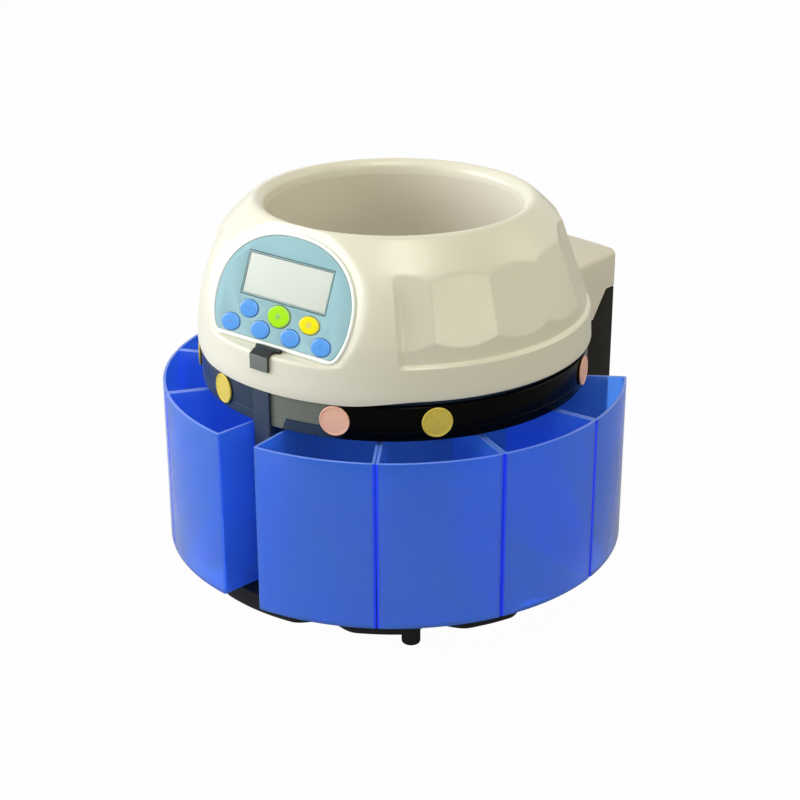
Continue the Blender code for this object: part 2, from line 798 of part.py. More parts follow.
def housing_form(name, inset, bottom):
    form = turned(name, dome_profile(inset, bottom))
    cut(form, recess_cutter(name + "_recess_right", 1, inset))
    cut(form, recess_cutter(name + "_recess_left", -1, inset))
    return cut(form, panel_cutter(name + "_panel_seat", inset))


def panel_frame():
    """The panel's own frame: X across, Y up the slope, Z out of its face."""
    turn = Matrix.Rotation(math.pi / 2 - PANEL_LEAN, 4, "X")
    return Matrix.Translation((0, -PANEL_REACH, PANEL_DATUM_HEIGHT)) @ turn


PANEL = panel_frame()


def panel_outline(grow):
    """A flattened circle cut off by a chord at its foot, made larger all round by grow."""
    half_width = PANEL_HALF_WIDTH + grow
    half_height = PANEL_HALF_HEIGHT + grow
    power = 2 / PANEL_EXPONENT
    foot = (PANEL_CENTRE - PANEL_CHORD + grow) / half_height
    start = -math.asin(foot ** (1 / power))
    points = []
    for i in range(PANEL_STEPS + 1):
        turn = start + (math.pi - 2 * start) * i / PANEL_STEPS
        across, up = math.cos(turn), math.sin(turn)
        x = half_width * math.copysign(abs(across) ** power, across)
        y = PANEL_CENTRE + half_height * math.copysign(abs(up) ** power, up)
        points.append((x, y))
    return points


def key_place(row, along):
    return (along * KEY_PITCH, KEY_ROWS[row])


def ellipse(centre, half_width, half_height):
    turns = [2 * math.pi * i / KEY_STEPS for i in range(KEY_STEPS)]
    return [(centre[0] + half_width * math.cos(t), centre[1] + half_height * math.sin(t)) for t in turns]


def key_holes():
    return [
        ellipse(key_place(row, along), half[0] + SEAT_GAP, half[1] + SEAT_GAP)
        for name, row, along, half in KEYS
    ]


def display_hole():
    return rectangle(DISPLAY_HALF_WIDTH + SEAT_GAP, DISPLAY_LOW - SEAT_GAP, DISPLAY_HIGH + SEAT_GAP)


def latch_bay():
    """The cutters that seat the latch: a groove for its barrel and a slot for its arm."""
    barrel = (-LATCH_PIVOT_REACH, LATCH_PIVOT_Z)
    groove_half = LATCH_BARREL_HALF + SEAT_GAP
    groove = rod(
        "latch_groove",
        LATCH_BARREL_RADIUS + SEAT_GAP,
        (-groove_half, *barrel),
        (groove_half, *barrel),
    )
    slot_back = LATCH_PIVOT_REACH - LATCH_ARM_THICKNESS / 2 - SEAT_GAP
    slot_low = PANEL_LEDGE - DOME_WALL * 2
    slot = box(
        "latch_slot",
        (2 * (LATCH_ARM_HALF + 2 * SEAT_GAP), LATCH_SLOT_REACH - slot_back, LATCH_PIVOT_Z - slot_low),
        (0, -(LATCH_SLOT_REACH + slot_back) / 2, (LATCH_PIVOT_Z + slot_low) / 2),
    )
    return groove, slot


def make_housing():
    edge = DOME_BOTTOM - FRONT_DROP
    housing = housing_form("upper_housing", 0.0, edge)
    cut(housing, housing_form("housing_inside", DOME_WALL, edge - OVERRUN))
    bore_low = DOME_TOP - LIP_DEPTH
    lip_out = HOPPER_RADIUS + LIP_WALL
    lip_high = DOME_TOP - LIP_WALL / 2
    lip = turned(
        "hopper_lip",
        [(lip_out, lip_high), (lip_out, bore_low), (HOPPER_RADIUS - LIP_WALL, bore_low),
         (HOPPER_RADIUS - LIP_WALL, lip_high)],
    )
    join(housing, lip)
    bore = rod("hopper_bore", HOPPER_RADIUS, (0, 0, bore_low - OVERRUN), (0, 0, DOME_TOP + OVERRUN), TURN_STEPS)
    cut(housing, bore)
    bevel_low, bevel_high = DOME_TOP - LIP_BEVEL - OVERRUN, DOME_TOP + OVERRUN
    bevel = turned(
        "lip_bevel",
        [(0.0, bevel_high), (HOPPER_RADIUS + LIP_BEVEL + OVERRUN, bevel_high),
         (HOPPER_RADIUS - OVERRUN, bevel_low), (0.0, bevel_low)],
    )
    cut(housing, bevel)
    rear_half = math.pi - FRONT_DROP_HALF_ANGLE
    raised = sector(CHUTE_INNER_RADIUS, DOME_RADIUS + OVERRUN, math.pi, rear_half, 0.0, TURN_STEPS)
    cut(housing, prism("side_edge_rise", [raised], edge - OVERRUN, DOME_BOTTOM))
    rim = prism(
        "panel_rim", [panel_outline(RIM_WIDTH), panel_outline(0.0)], -PANEL_BACK - RIM_ROOT, RIM_PROUD, PANEL
    )
    join(housing, rim)
    openings = [display_hole()] + key_holes()
    for i, opening in enumerate(openings):
        cut(housing, prism(f"panel_opening_{i}", [opening], -WALL_BACK - OVERRUN, OVERRUN, PANEL))
    cut(housing, *latch_bay())
    return place(housing, "housing")


def make_liner():
    top_out, bottom_out = LINER_TOP_RADIUS + LINER_WALL, LINER_BOTTOM_RADIUS + LINER_WALL
    profile = [
        (top_out, LINER_TOP),
        (bottom_out, LINER_BOTTOM),
        (LINER_BOTTOM_RADIUS, LINER_BOTTOM),
        (LINER_TOP_RADIUS, LINER_TOP),
    ]
    return place(turned("hopper_liner", profile), "hopper")


# Panel, display and keys

def make_panel():
    loops = [panel_outline(-SEAT_GAP), display_hole()] + key_holes()
    panel = prism("control_panel", loops, -PANEL_THICKNESS, 0.0, PANEL)
    display_mid = (DISPLAY_LOW + DISPLAY_HIGH) / 2
    display_height = DISPLAY_HIGH - DISPLAY_LOW
    glass = box(
        "display_window",
        (2 * DISPLAY_HALF_WIDTH, display_height, WINDOW_THICKNESS),
        (0, display_mid, -WINDOW_THICKNESS / 2),
        PANEL,
    )
    board_front = -WALL_BACK - SEAT_GAP
    module_front = board_front - BOARD_THICKNESS - SEAT_GAP
    module = box(
        "display_module",
        (2 * (DISPLAY_HALF_WIDTH + MODULE_MARGIN), display_height + 2 * MODULE_MARGIN, MODULE_DEPTH),
        (0, display_mid, module_front - MODULE_DEPTH / 2),
        PANEL,
    )
    screen_low, screen_high = module_front - MODULE_DEPTH / 2, -WINDOW_THICKNESS - SEAT_GAP
    screen = box(
        "display_screen",
        (
            2 * (DISPLAY_HALF_WIDTH - SCREEN_MARGIN),
            display_height - 2 * SCREEN_MARGIN,
            screen_high - screen_low,
        ),
        (0, display_mid, (screen_low + screen_high) / 2),
        PANEL,
    )
    join(module, screen)
    board = box(
        "keypad_board",
        (2 * KEYBOARD_HALF_WIDTH, KEYBOARD_HIGH - KEYBOARD_LOW, BOARD_THICKNESS),
        (0, (KEYBOARD_LOW + KEYBOARD_HIGH) / 2, board_front - BOARD_THICKNESS / 2),
        PANEL,
    )
    for key_name, row, along, half in KEYS:
        make_key(key_name, row, along, half)
    return [
        place(panel, "panel"),
        place(glass, "display"),
        place(module, "display"),
        place(board, "board"),
    ]


def make_key(name, row, along, half):
    """A key cap that reaches through the panel and the housing wall to the key board."""
    centre = key_place(row, along)
    low = -WALL_BACK - SEAT_GAP + SEAT_GAP + KEY_TRAVEL
    key = prism(name, [ellipse((0.0, 0.0), *half)], low, KEY_PROUD, PANEL @ Matrix.Translation((*centre, 0)))
    top = KEY_PROUD - WELD
    round_edges(key, lambda co: co.z > top, KEY_CHAMFER, 1)
    place(key, name.split("_")[1] + "_key")
    carry(name + "_press", PANEL @ Vector((*centre, 0)), [key])


# Front latch

def make_latch():
    """An L clip over the ledge, a barrel that it turns on, and an arm that reaches the sorting deck."""
    ledge = PANEL_LEDGE + SEAT_GAP
    face_in, face_out = -LATCH_FACE_REACH, -LATCH_FACE_REACH - LATCH_PLATE
    top = ledge + LATCH_PLATE
    pivot = -LATCH_PIVOT_REACH
    side = [
        (face_out, LATCH_FACE_BOTTOM),
        (face_in, LATCH_FACE_BOTTOM),
        (face_in, ledge),
        (pivot, ledge),
        (pivot, top),
        (face_out, top),
    ]
    latch = prism("front_latch", [side], -LATCH_HALF_WIDTH, LATCH_HALF_WIDTH, ALONG_X)
    barrel = rod(
        "latch_barrel",
        LATCH_BARREL_RADIUS,
        (-LATCH_BARREL_HALF, pivot, LATCH_PIVOT_Z),
        (LATCH_BARREL_HALF, pivot, LATCH_PIVOT_Z),
    )
    half_arm = LATCH_ARM_THICKNESS / 2
    nose_top = LATCH_ARM_BOTTOM + LATCH_NOSE_HEIGHT
    nose_tip = -LATCH_NOTCH_REACH - SEAT_GAP
    arm_side = [
        (pivot - half_arm, LATCH_PIVOT_Z),
        (pivot - half_arm, LATCH_ARM_BOTTOM),
        (pivot + half_arm, LATCH_ARM_BOTTOM),
        (nose_tip, nose_top),
        (pivot + half_arm, nose_top),
        (pivot + half_arm, LATCH_PIVOT_Z),
    ]
    arm = prism("latch_arm", [arm_side], -LATCH_ARM_HALF, LATCH_ARM_HALF, ALONG_X)
    place(join(latch, barrel, arm), "black")
    carry("front_latch_turn", (0, pivot, LATCH_PIVOT_Z), [latch])


# Rear block and hinge

def knuckle_spans(first):
    """The left and right stretches along X of one row of knuckles: the post's row is the first."""
    start = KNUCKLE_START if first else KNUCKLE_START + KNUCKLE_LENGTH + KNUCKLE_GAP
    return [(side * start, side * (start + KNUCKLE_LENGTH)) for side in (1, -1)]


def hinge_rods(name, spans, radius, grow):
    rods = []
    for i, (near, far) in enumerate(spans):
        low, high = min(near, far) - grow, max(near, far) + grow
        rods.append(rod(f"{name}_{i}", radius, (low, HINGE_Y, HINGE_Z), (high, HINGE_Y, HINGE_Z)))
    return rods


def block_outline(inset, front):
    corner = rounded_corner(BLOCK_HALF_WIDTH - inset, BLOCK_BACK - inset, BLOCK_CORNER - inset)
    right = [(BLOCK_HALF_WIDTH - inset, front)] + corner
    return right + [(-x, y) for x, y in reversed(right)]


def cover_side(inset, low_drop, front):
    """The cover's side view. Its lower edge steps down towards the dome."""
    return [
        (BLOCK_BACK - inset, COVER_TOP - inset),
        (front, COVER_TOP - inset),
        (front, COVER_SKIRT - low_drop),
        (COVER_STEP_FRONT, COVER_SKIRT - low_drop),
        (COVER_STEP_BACK, COVER_BOTTOM - low_drop),
        (BLOCK_BACK - inset, COVER_BOTTOM - low_drop),
    ]


def make_post():
    post = prism("rear_post", [block_outline(0.0, POST_FRONT)], TRAY_BOTTOM, POST_TOP)
    inside = prism(
        "post_inside",
        [block_outline(POST_WALL, POST_FRONT + POST_WALL)],
        TRAY_BOTTOM - OVERRUN,
        POST_TOP - POST_WALL,
    )
    ring_room = rod(
        "post_ring_room",
        DOME_RADIUS + SEAT_GAP,
        (0, 0, CHUTE_BOTTOM - SEAT_GAP),
        (0, 0, COVER_TOP),
        TURN_STEPS,
    )
    step_room = prism(
        "post_step_room",
        [[
            (COVER_FRONT - OVERRUN, COVER_TOP),
            (COVER_FRONT - OVERRUN, COVER_SKIRT - COVER_POST_GAP),
            (COVER_STEP_FRONT + COVER_POST_GAP, COVER_SKIRT - COVER_POST_GAP),
            (COVER_STEP_BACK + COVER_POST_GAP, POST_TOP + SEAT_GAP),
            (COVER_STEP_BACK + COVER_POST_GAP, COVER_TOP),
        ]],
        -BLOCK_HALF_WIDTH - OVERRUN,
        BLOCK_HALF_WIDTH + OVERRUN,
        ALONG_X,
    )
    cut(post, inside, ring_room, step_room)
    join(post, *hinge_rods("post_knuckle", knuckle_spans(True), KNUCKLE_RADIUS, 0.0))
    clear = KNUCKLE_RADIUS + SEAT_GAP
    cut(post, *hinge_rods("post_hinge_room", knuckle_spans(False), clear, KNUCKLE_GAP / 2))
    bore = [(KNUCKLE_START - OVERRUN, KNUCKLE_START + OVERRUN + KNUCKLE_LENGTH * 2)]
    spans = bore + [(-near, -far) for near, far in bore]
    cut(post, *hinge_rods("post_pin_bore", spans, PIN_RADIUS + SEAT_GAP, 0.0))
    back = BLOCK_BACK - POST_WALL / 2
    for name, x, z, size in (
        ("inlet_hole", INLET_X, INLET_Z, INLET_BODY),
        ("switch_hole", SWITCH_X, SWITCH_Z, SWITCH_BODY),
    ):
        hole = box(name, (size[0] + 2 * SEAT_GAP, POST_WALL * 2, size[2] + 2 * SEAT_GAP), (x, back, z))
        cut(post, hole)
    for side in (1, -1):
        x = side * SCREW_X
        start, end = (x, back - POST_WALL, SCREW_Z), (x, back + POST_WALL, SCREW_Z)
        cut(post, rod(f"screw_hole_{side_name(side)}", SCREW_SHANK_RADIUS + SEAT_GAP, start, end))
    place(post, "black")


def make_cover():
    half = BLOCK_HALF_WIDTH
    cover = prism("rear_cover", [cover_side(0.0, 0.0, COVER_FRONT)], -half, half, ALONG_X)
    side_low = COVER_BOTTOM - WELD

    def outer_edge(co):
        at_back = co.x > BLOCK_BACK - WELD and co.y > side_low
        on_top = co.y > COVER_TOP - WELD
        return at_back or on_top

    round_edges(cover, outer_edge, BLOCK_CORNER, 3)
    inner_half = half - COVER_WALL
    inside = prism(
        "cover_inside",
        [cover_side(COVER_WALL, OVERRUN, COVER_FRONT - OVERRUN)],
        -inner_half,
        inner_half,
        ALONG_X,
    )
    cut(cover, inside)
    dome_room = turned("cover_dome_room", dome_profile(-SEAT_GAP, COVER_SKIRT - OVERRUN))
    cut(cover, dome_room)
    join(cover, *hinge_rods("cover_knuckle", knuckle_spans(False), KNUCKLE_RADIUS, 0.0))
    clear = KNUCKLE_RADIUS + SEAT_GAP
    cut(cover, *hinge_rods("cover_hinge_room", knuckle_spans(True), clear, KNUCKLE_GAP / 2))
    bore = [(KNUCKLE_START - OVERRUN, KNUCKLE_START + OVERRUN + KNUCKLE_LENGTH * 2)]
    spans = bore + [(-near, -far) for near, far in bore]
    cut(cover, *hinge_rods("cover_pin_bore", spans, PIN_RADIUS + SEAT_GAP, 0.0))
    return place(cover, "cover")


def make_hinge_pins():
    far = KNUCKLE_START + 2 * KNUCKLE_LENGTH + KNUCKLE_GAP + PIN_OVERHANG
    near = KNUCKLE_START - PIN_OVERHANG
    for side in (1, -1):
        ends = [(side * x, HINGE_Y, HINGE_Z) for x in (near, far)]
        place(rod(f"hinge_pin_{side_name(side)}", PIN_RADIUS, *ends), "steel")


# Drive train

def gear_outline(teeth, phase):
    """An involute gear outline. A tooth's middle lies at the phase angle."""
    pitch_radius = MODULE * teeth / 2
    base_radius = pitch_radius * math.cos(PRESSURE_ANGLE)
    root = pitch_radius - DEDENDUM * MODULE
    tip = pitch_radius + ADDENDUM * MODULE

    def half_tooth(radius):
        angle = math.acos(min(1.0, base_radius / radius))
        rolled = math.tan(angle) - angle
        start = math.tan(PRESSURE_ANGLE) - PRESSURE_ANGLE
        return TOOTH_FILL * math.pi / (2 * teeth) + start - rolled

    levels = [root, tip]
    points = []
    for i in range(teeth):
        middle = phase + 2 * math.pi * i / teeth
        for radius in levels:
            angle = middle - half_tooth(max(radius, base_radius))
            points.append((radius * math.cos(angle), radius * math.sin(angle)))
        for radius in reversed(levels):
            angle = middle + half_tooth(max(radius, base_radius))
            points.append((radius * math.cos(angle), radius * math.sin(angle)))
    return points


def gap_phase(direction, teeth):
    """The phase that turns a gap, and not a tooth, towards a neighbour behind it."""
    return direction + math.pi + math.pi / teeth


def shaft_bore(name, shaft_radius, centre):
    """A tall cutter for the running hole of a wheel on its shaft."""
    return rod(name, shaft_radius + SEAT_GAP, (*centre, TRAY_BOTTOM), (*centre, DOME_TOP))


def make_drive():
    shaft_top = DISC_BOTTOM + DISC_THICKNESS + HUB_HEIGHT - SEAT_GAP
    shaft = rod("drive_shaft", SHAFT_RADIUS, (0, 0, SHAFT_BOTTOM), (0, 0, shaft_top))
    gear_top = MAIN_GEAR_BOTTOM + MAIN_GEAR_WIDTH
    main = prism("main_gear", [gear_outline(MAIN_TEETH, MAIN_TURN_PHASE)], MAIN_GEAR_BOTTOM, gear_top)
    hub_ends = [(0, 0, z) for z in (MAIN_GEAR_BOTTOM - MAIN_HUB_LENGTH, gear_top - MAIN_GEAR_WIDTH / 2)]
    join(main, rod("main_gear_hub", MAIN_HUB_RADIUS, *hub_ends))
    cut(main, shaft_bore("main_gear_bore", SHAFT_RADIUS, (0, 0)))

    idler_spot = Matrix.Translation((*IDLER_PLACE, 0))
    idler_top = IDLER_BOTTOM + IDLER_WIDTH
    idler = prism(
        "idler_gear", [gear_outline(IDLER_TEETH, MOTOR_DIRECTION)], IDLER_BOTTOM, idler_top, idler_spot
    )
    small_phase = gap_phase(IDLER_DIRECTION, PINION_TEETH)
    small = prism(
        "idler_small_gear",
        [gear_outline(PINION_TEETH, small_phase)],
        idler_top - IDLER_WIDTH / 2,
        gear_top,
        idler_spot,
    )
    cut(join(idler, small), shaft_bore("idler_bore", IDLER_PIN_RADIUS, IDLER_PLACE))
    pin_ends = [(*IDLER_PLACE, z) for z in (SHAFT_BOTTOM, gear_top + SEAT_GAP)]
    idler_pin = rod("idler_pin", IDLER_PIN_RADIUS, *pin_ends)

    motor_spot = Matrix.Translation((*MOTOR_PLACE, 0))
    pinion = prism(
        "motor_pinion",
        [gear_outline(PINION_TEETH, gap_phase(MOTOR_DIRECTION, PINION_TEETH))],
        IDLER_BOTTOM - SEAT_GAP,
        idler_top + SEAT_GAP,
        motor_spot,
    )
    motor_top = GEAR_DECK_BOTTOM - SEAT_GAP
    stub = [(*MOTOR_PLACE, z) for z in (motor_top + SEAT_GAP, IDLER_BOTTOM + IDLER_WIDTH / 2)]
    join(pinion, rod("motor_shaft", IDLER_PIN_RADIUS, *stub))
    body_ends = [(*MOTOR_PLACE, z) for z in (motor_top - MOTOR_LENGTH, motor_top)]
    motor = rod("motor", MOTOR_RADIUS, *body_ends, TURN_STEPS // 2)

    flange_low = SORT_TOP + SEAT_GAP
    bush = turned(
        "shaft_bush",
        [
            (BUSH_FLANGE_RADIUS, flange_low + BUSH_FLANGE),
            (BUSH_FLANGE_RADIUS, flange_low),
            (BUSH_RADIUS, flange_low),
            (BUSH_RADIUS, SORT_BOTTOM),
            (SHAFT_RADIUS + SEAT_GAP, SORT_BOTTOM),
            (SHAFT_RADIUS + SEAT_GAP, flange_low + BUSH_FLANGE),
        ],
        ROUND_STEPS,
    )
    place(motor, "steel")
    place(idler_pin, "steel")
    place(bush, "bronze")
    spinning = [place(shaft, "steel"), place(main, "gear")] + make_disc()
    carry("disc_spin", (0, 0, DISC_BOTTOM), spinning)
    carry("idler_spin", (*IDLER_PLACE, IDLER_BOTTOM), [place(idler, "gear")])
    carry("motor_spin", (*MOTOR_PLACE, IDLER_BOTTOM), [place(pinion, "bronze")])


def make_disc():
    """The feed disc with its coin pockets, and the cap over the end of its shaft."""
    disc_top = DISC_BOTTOM + DISC_THICKNESS
    pockets = [
        circle(POCKET_RADIUS, POCKET_STEPS, polar(POCKET_CIRCLE, 2 * math.pi * i / DISC_POCKETS))
        for i in range(DISC_POCKETS)
    ]
    disc = prism("feed_disc", [circle(DISC_RADIUS, TURN_STEPS)] + pockets, DISC_BOTTOM, disc_top)
    join(disc, rod("disc_hub", HUB_RADIUS, (0, 0, DISC_BOTTOM + DISC_THICKNESS / 2), (0, 0, disc_top + HUB_HEIGHT)))
    cut(disc, shaft_bore("disc_bore", SHAFT_RADIUS, (0, 0)))
    cap_low = disc_top + HUB_HEIGHT + SEAT_GAP
    cap_steps = ARC_STEPS // 2
    dome = []
    for i in range(cap_steps + 1):
        turn = math.pi / 2 * i / cap_steps
        dome.append((HUB_CAP_RADIUS * math.sin(turn), cap_low + HUB_CAP_HEIGHT * (1 + math.cos(turn)) / 2))
    cap = turned("hub_cap", dome + [(HUB_CAP_RADIUS, cap_low), (0, cap_low)], ROUND_STEPS)
    return [place(disc, "steel"), place(cap, "black")]


# Badges, electrics, sensor and screws

def make_badges():
    """Coin discs on the ring above the trays. The bare tray has none."""
    finishes = {(1, 0): "copper", (1, 1): "gold", (1, 3): "copper", (-1, 0): "gold"}
    shifts = {(1, 0): BADGE_SHIFT_WIDE, (-1, 0): BADGE_SHIFT_WIDE}
    for side, index in tray_places():
        if (side, index) == BARE_TRAY:
            continue
        azimuth = tray_azimuth(side, index) + shifts.get((side, index), BADGE_SHIFT)
        starts = CHUTE_RADIUS + SEAT_GAP
        ends = [(*polar(r, azimuth), BADGE_HEIGHT) for r in (starts, starts + BADGE_THICKNESS)]
        name = f"coin_badge_{side_name(side)}_{index + 1}"
        badge = rod(name, BADGE_RADIUS, *ends, BADGE_STEPS)
        place(badge, finishes.get((side, index), "gold"))


def make_inlet():
    face = BLOCK_BACK + SEAT_GAP
    flange = box("power_inlet", INLET_FLANGE, (INLET_X, face + INLET_FLANGE[1] / 2, INLET_Z))
    body = box("inlet_body", INLET_BODY, (INLET_X, face - INLET_BODY[1] / 2 + SEAT_GAP, INLET_Z))
    front = face + INLET_FLANGE[1]
    depth = INLET_SOCKET[1] + OVERRUN
    socket = box(
        "inlet_socket", (INLET_SOCKET[0], depth, INLET_SOCKET[2]), (INLET_X, front + OVERRUN - depth / 2, INLET_Z)
    )
    cut(join(flange, body), socket)
    blade_y = front - INLET_SOCKET[1] - SEAT_GAP + INLET_BLADE[1] / 2
    for i in (-1, 0, 1):
        lift = (i == 0) * INLET_BLADE[2] / 2
        place_ = (INLET_X + i * INLET_BLADE_PITCH, blade_y, INLET_Z + lift)
        join(flange, box(f"inlet_blade_{i + 1}", INLET_BLADE, place_))
    place(flange, "black")


def rocker_outline():
    """The rocker's side view about its pivot, as (forward, up)."""
    return [
        (ROCKER_END_REACH, ROCKER_HALF_HEIGHT),
        (-ROCKER_BACK_REACH, ROCKER_BACK_HALF),
        (-ROCKER_BACK_REACH, -ROCKER_BACK_HALF),
        (ROCKER_END_REACH, -ROCKER_HALF_HEIGHT),
        (ROCKER_MIDDLE_REACH, 0),
    ]


def make_switch():
    face = BLOCK_BACK + SEAT_GAP
    frame = box("switch_frame", SWITCH_FLANGE, (SWITCH_X, face + SWITCH_FLANGE[1] / 2, SWITCH_Z))
    join(frame, box("switch_body", SWITCH_BODY, (SWITCH_X, face - SWITCH_BODY[1] / 2 + SEAT_GAP, SWITCH_Z)))
    back = ROCKER_PIVOT_Y - ROCKER_BACK_REACH - OVERRUN / 2
    front = face + SWITCH_FLANGE[1] + OVERRUN
    well_width = 2 * (ROCKER_HALF_WIDTH + SEAT_GAP)
    well = box("switch_well", (well_width, front - back, 2 * ROCKER_SWEEP), (SWITCH_X, (front + back) / 2, SWITCH_Z))
    hole_half = ROCKER_AXLE_HALF + SEAT_GAP
    axle_hole = rod(
        "switch_axle_hole",
        ROCKER_AXLE_RADIUS + SEAT_GAP,
        (SWITCH_X - hole_half, ROCKER_PIVOT_Y, SWITCH_Z),
        (SWITCH_X + hole_half, ROCKER_PIVOT_Y, SWITCH_Z),
    )
    cut(frame, well, axle_hole)
    pivot = Matrix.Translation((SWITCH_X, ROCKER_PIVOT_Y, SWITCH_Z)) @ Matrix.Rotation(-ROCKER_TILT, 4, "X")
    rocker = prism("switch_rocker", [rocker_outline()], -ROCKER_HALF_WIDTH, ROCKER_HALF_WIDTH, pivot @ ALONG_X)
    axle = rod(
        "switch_axle",
        ROCKER_AXLE_RADIUS,
        (SWITCH_X - ROCKER_AXLE_HALF, ROCKER_PIVOT_Y, SWITCH_Z),
        (SWITCH_X + ROCKER_AXLE_HALF, ROCKER_PIVOT_Y, SWITCH_Z),
    )
    join(rocker, axle)
    place(frame, "black")
    carry("switch_turn", (SWITCH_X, ROCKER_PIVOT_Y, SWITCH_Z), [place(rocker, "black")])


def make_electrics():
    board = box(
        "main_board", MAIN_BOARD_SIZE, (0, MAIN_BOARD_Y, TRAY_BOTTOM + MAIN_BOARD_SIZE[2] / 2)
    )
    place(board, "board")
    supply = box("power_supply", SUPPLY_SIZE, (0, SUPPLY_Y, TRAY_BOTTOM + SUPPLY_SIZE[2] / 2))
    place(supply, "steel")
    sensor_z = SORT_TOP + SEAT_GAP + SENSOR_SIZE[2] / 2
    place(box("coin_sensor", SENSOR_SIZE, (0, SENSOR_REACH, sensor_z)), "black")
    for side in (1, -1):
        x = side * SCREW_X
        under = BLOCK_BACK + SEAT_GAP
        name = f"rear_screw_{side_name(side)}"
        screw = rod(name, SCREW_HEAD_RADIUS, (x, under, SCREW_Z), (x, under + SCREW_HEAD, SCREW_Z))
        shank_end = under + SCREW_HEAD / 2
        shank = rod(
            name + "_shank", SCREW_SHANK_RADIUS, (x, under - SCREW_SHANK, SCREW_Z), (x, shank_end, SCREW_Z)
        )
        place(join(screw, shank), "steel")


def make_counter():
    for side, index in tray_places():
        make_tray(side, index)
    make_base()
    make_drum()
    make_gear_deck()
    make_pillar()
    make_chute_ring()
    make_sorting_deck()
    make_badges()
    make_post()
    make_hinge_pins()
    make_electrics()
    make_inlet()
    make_switch()
    make_drive()
    lid = [make_housing(), make_cover(), make_liner()] + make_panel()
    make_latch()
    carry("lid_hinge", (0, HINGE_Y, HINGE_Z), lid)


make_counter()
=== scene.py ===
"""Looks of a round coin counter: cream dome, blue trays, black ring, key panel and rear block.

Metres, +Z up, front towards -Y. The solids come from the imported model. What shows is modelled here
at the same sizes, and rides on the model's bodies.
"""

import math

import bpy
from mathutils import Matrix, Vector


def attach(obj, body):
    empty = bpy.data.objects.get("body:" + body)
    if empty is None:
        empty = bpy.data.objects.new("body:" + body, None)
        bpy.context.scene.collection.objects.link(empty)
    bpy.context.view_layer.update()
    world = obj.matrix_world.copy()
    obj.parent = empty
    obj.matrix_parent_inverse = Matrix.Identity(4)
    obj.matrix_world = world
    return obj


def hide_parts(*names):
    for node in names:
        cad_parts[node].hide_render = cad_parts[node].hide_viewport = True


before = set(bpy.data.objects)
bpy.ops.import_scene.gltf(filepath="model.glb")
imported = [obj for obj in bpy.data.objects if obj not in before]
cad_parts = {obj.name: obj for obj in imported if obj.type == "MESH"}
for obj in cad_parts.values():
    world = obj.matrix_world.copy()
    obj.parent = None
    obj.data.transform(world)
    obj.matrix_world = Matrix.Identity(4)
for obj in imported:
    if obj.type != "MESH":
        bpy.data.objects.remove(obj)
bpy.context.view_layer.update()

MM = 0.001
GAP = 0.3
WELD = 0.000001

# Sizes in millimetres, as the solids have them
TRAY_RADIUS = 165.0
TRAY_INNER_RADIUS = 93.5
TRAY_BOTTOM = 33.0
TRAY_TOP = 152.0
TRAY_WALL = 2.0
TRAY_PITCH = 29.5
FRONT_GAP_HALF = 5.33
BASE_BOTTOM = 20.0
BASE_TOP = 32.7
BASE_RADIUS = 150.0
RING_RADIUS = 137.0
RING_BOTTOM = 155.0
RING_TOP = 178.5
SIDE_EDGE = 183.0
FRONT_EDGE = 179.0
LEDGE = 204.5
PANEL_LEAN = math.radians(21.5)
PANEL_REACH = 129.0
PANEL_DATUM = 200.0
SEAT_DEPTH = 1.1
BLOCK_HALF = 82.5
BLOCK_BACK = 161.0
POST_TOP = 188.5
HINGE_Y = 160
HINGE_Z = 190
BACK_FACE = 161.3
INLET_X = -45
SWITCH_X = 45
POWER_Z = 60
SCREW_X = 68
SCREW_Z = 160
LATCH_PIN_Y = -130
LATCH_PIN_Z = 205.6
COVER_TOP = 214.7

# The recess in the dome's side. Angles are in degrees from the front
COVE_RADIUS = 134.6
COVE_ROW = 217.0
FACET_ROW = 260.5
FACET_WIDTH = 19.0
FACET_START = 40.5
FACET_SLOPE = 0.353
FACET_REACH = 126.1
FACET_DATUM = 240
REAR_FACET_INSET = 3.2

# How far the cover's top stands above the solid's, and its crown
COVER_LIFT = 3.3
COVER_CROWN = 4.0

# Takes a side view, drawn as (depth, height), to its place in the frame
TO_SIDE = Matrix(((0, 0, 1, 0), (1, 0, 0, 0), (0, 1, 0, 0), (0, 0, 0, 1)))

# Dome outline from its lower edge to the hopper's lip: (radius, height)
DOME_LINE = (
    (138.9, 183.0),
    (138.3, 195.0),
    (137.6, 206.5),
    (136.4, 218.0),
    (133.8, 230.0),
    (130.2, 241.0),
    (125.6, 251.0),
    (119.6, 260.0),
    (112.3, 268.0),
    (106.2, 273.9),
    (101.6, 277.9),
    (99.8, 279.4),
    (97.9, 280.3),
    (96.1, 280.6),
)


# Colour, light, camera and stage

def paint(code):
    """A display colour such as "#EDE8D5" as the linear values that a shader takes."""
    values = [int(code[i:i + 2], 16) / 255 for i in (1, 3, 5)]
    return tuple(v / 12.92 if v <= 0.04045 else ((v + 0.055) / 1.055) ** 2.4 for v in values) + (1.0,)


def sum_step(nodes, operation):
    step = nodes.new("ShaderNodeMath")
    step.operation = operation
    return step


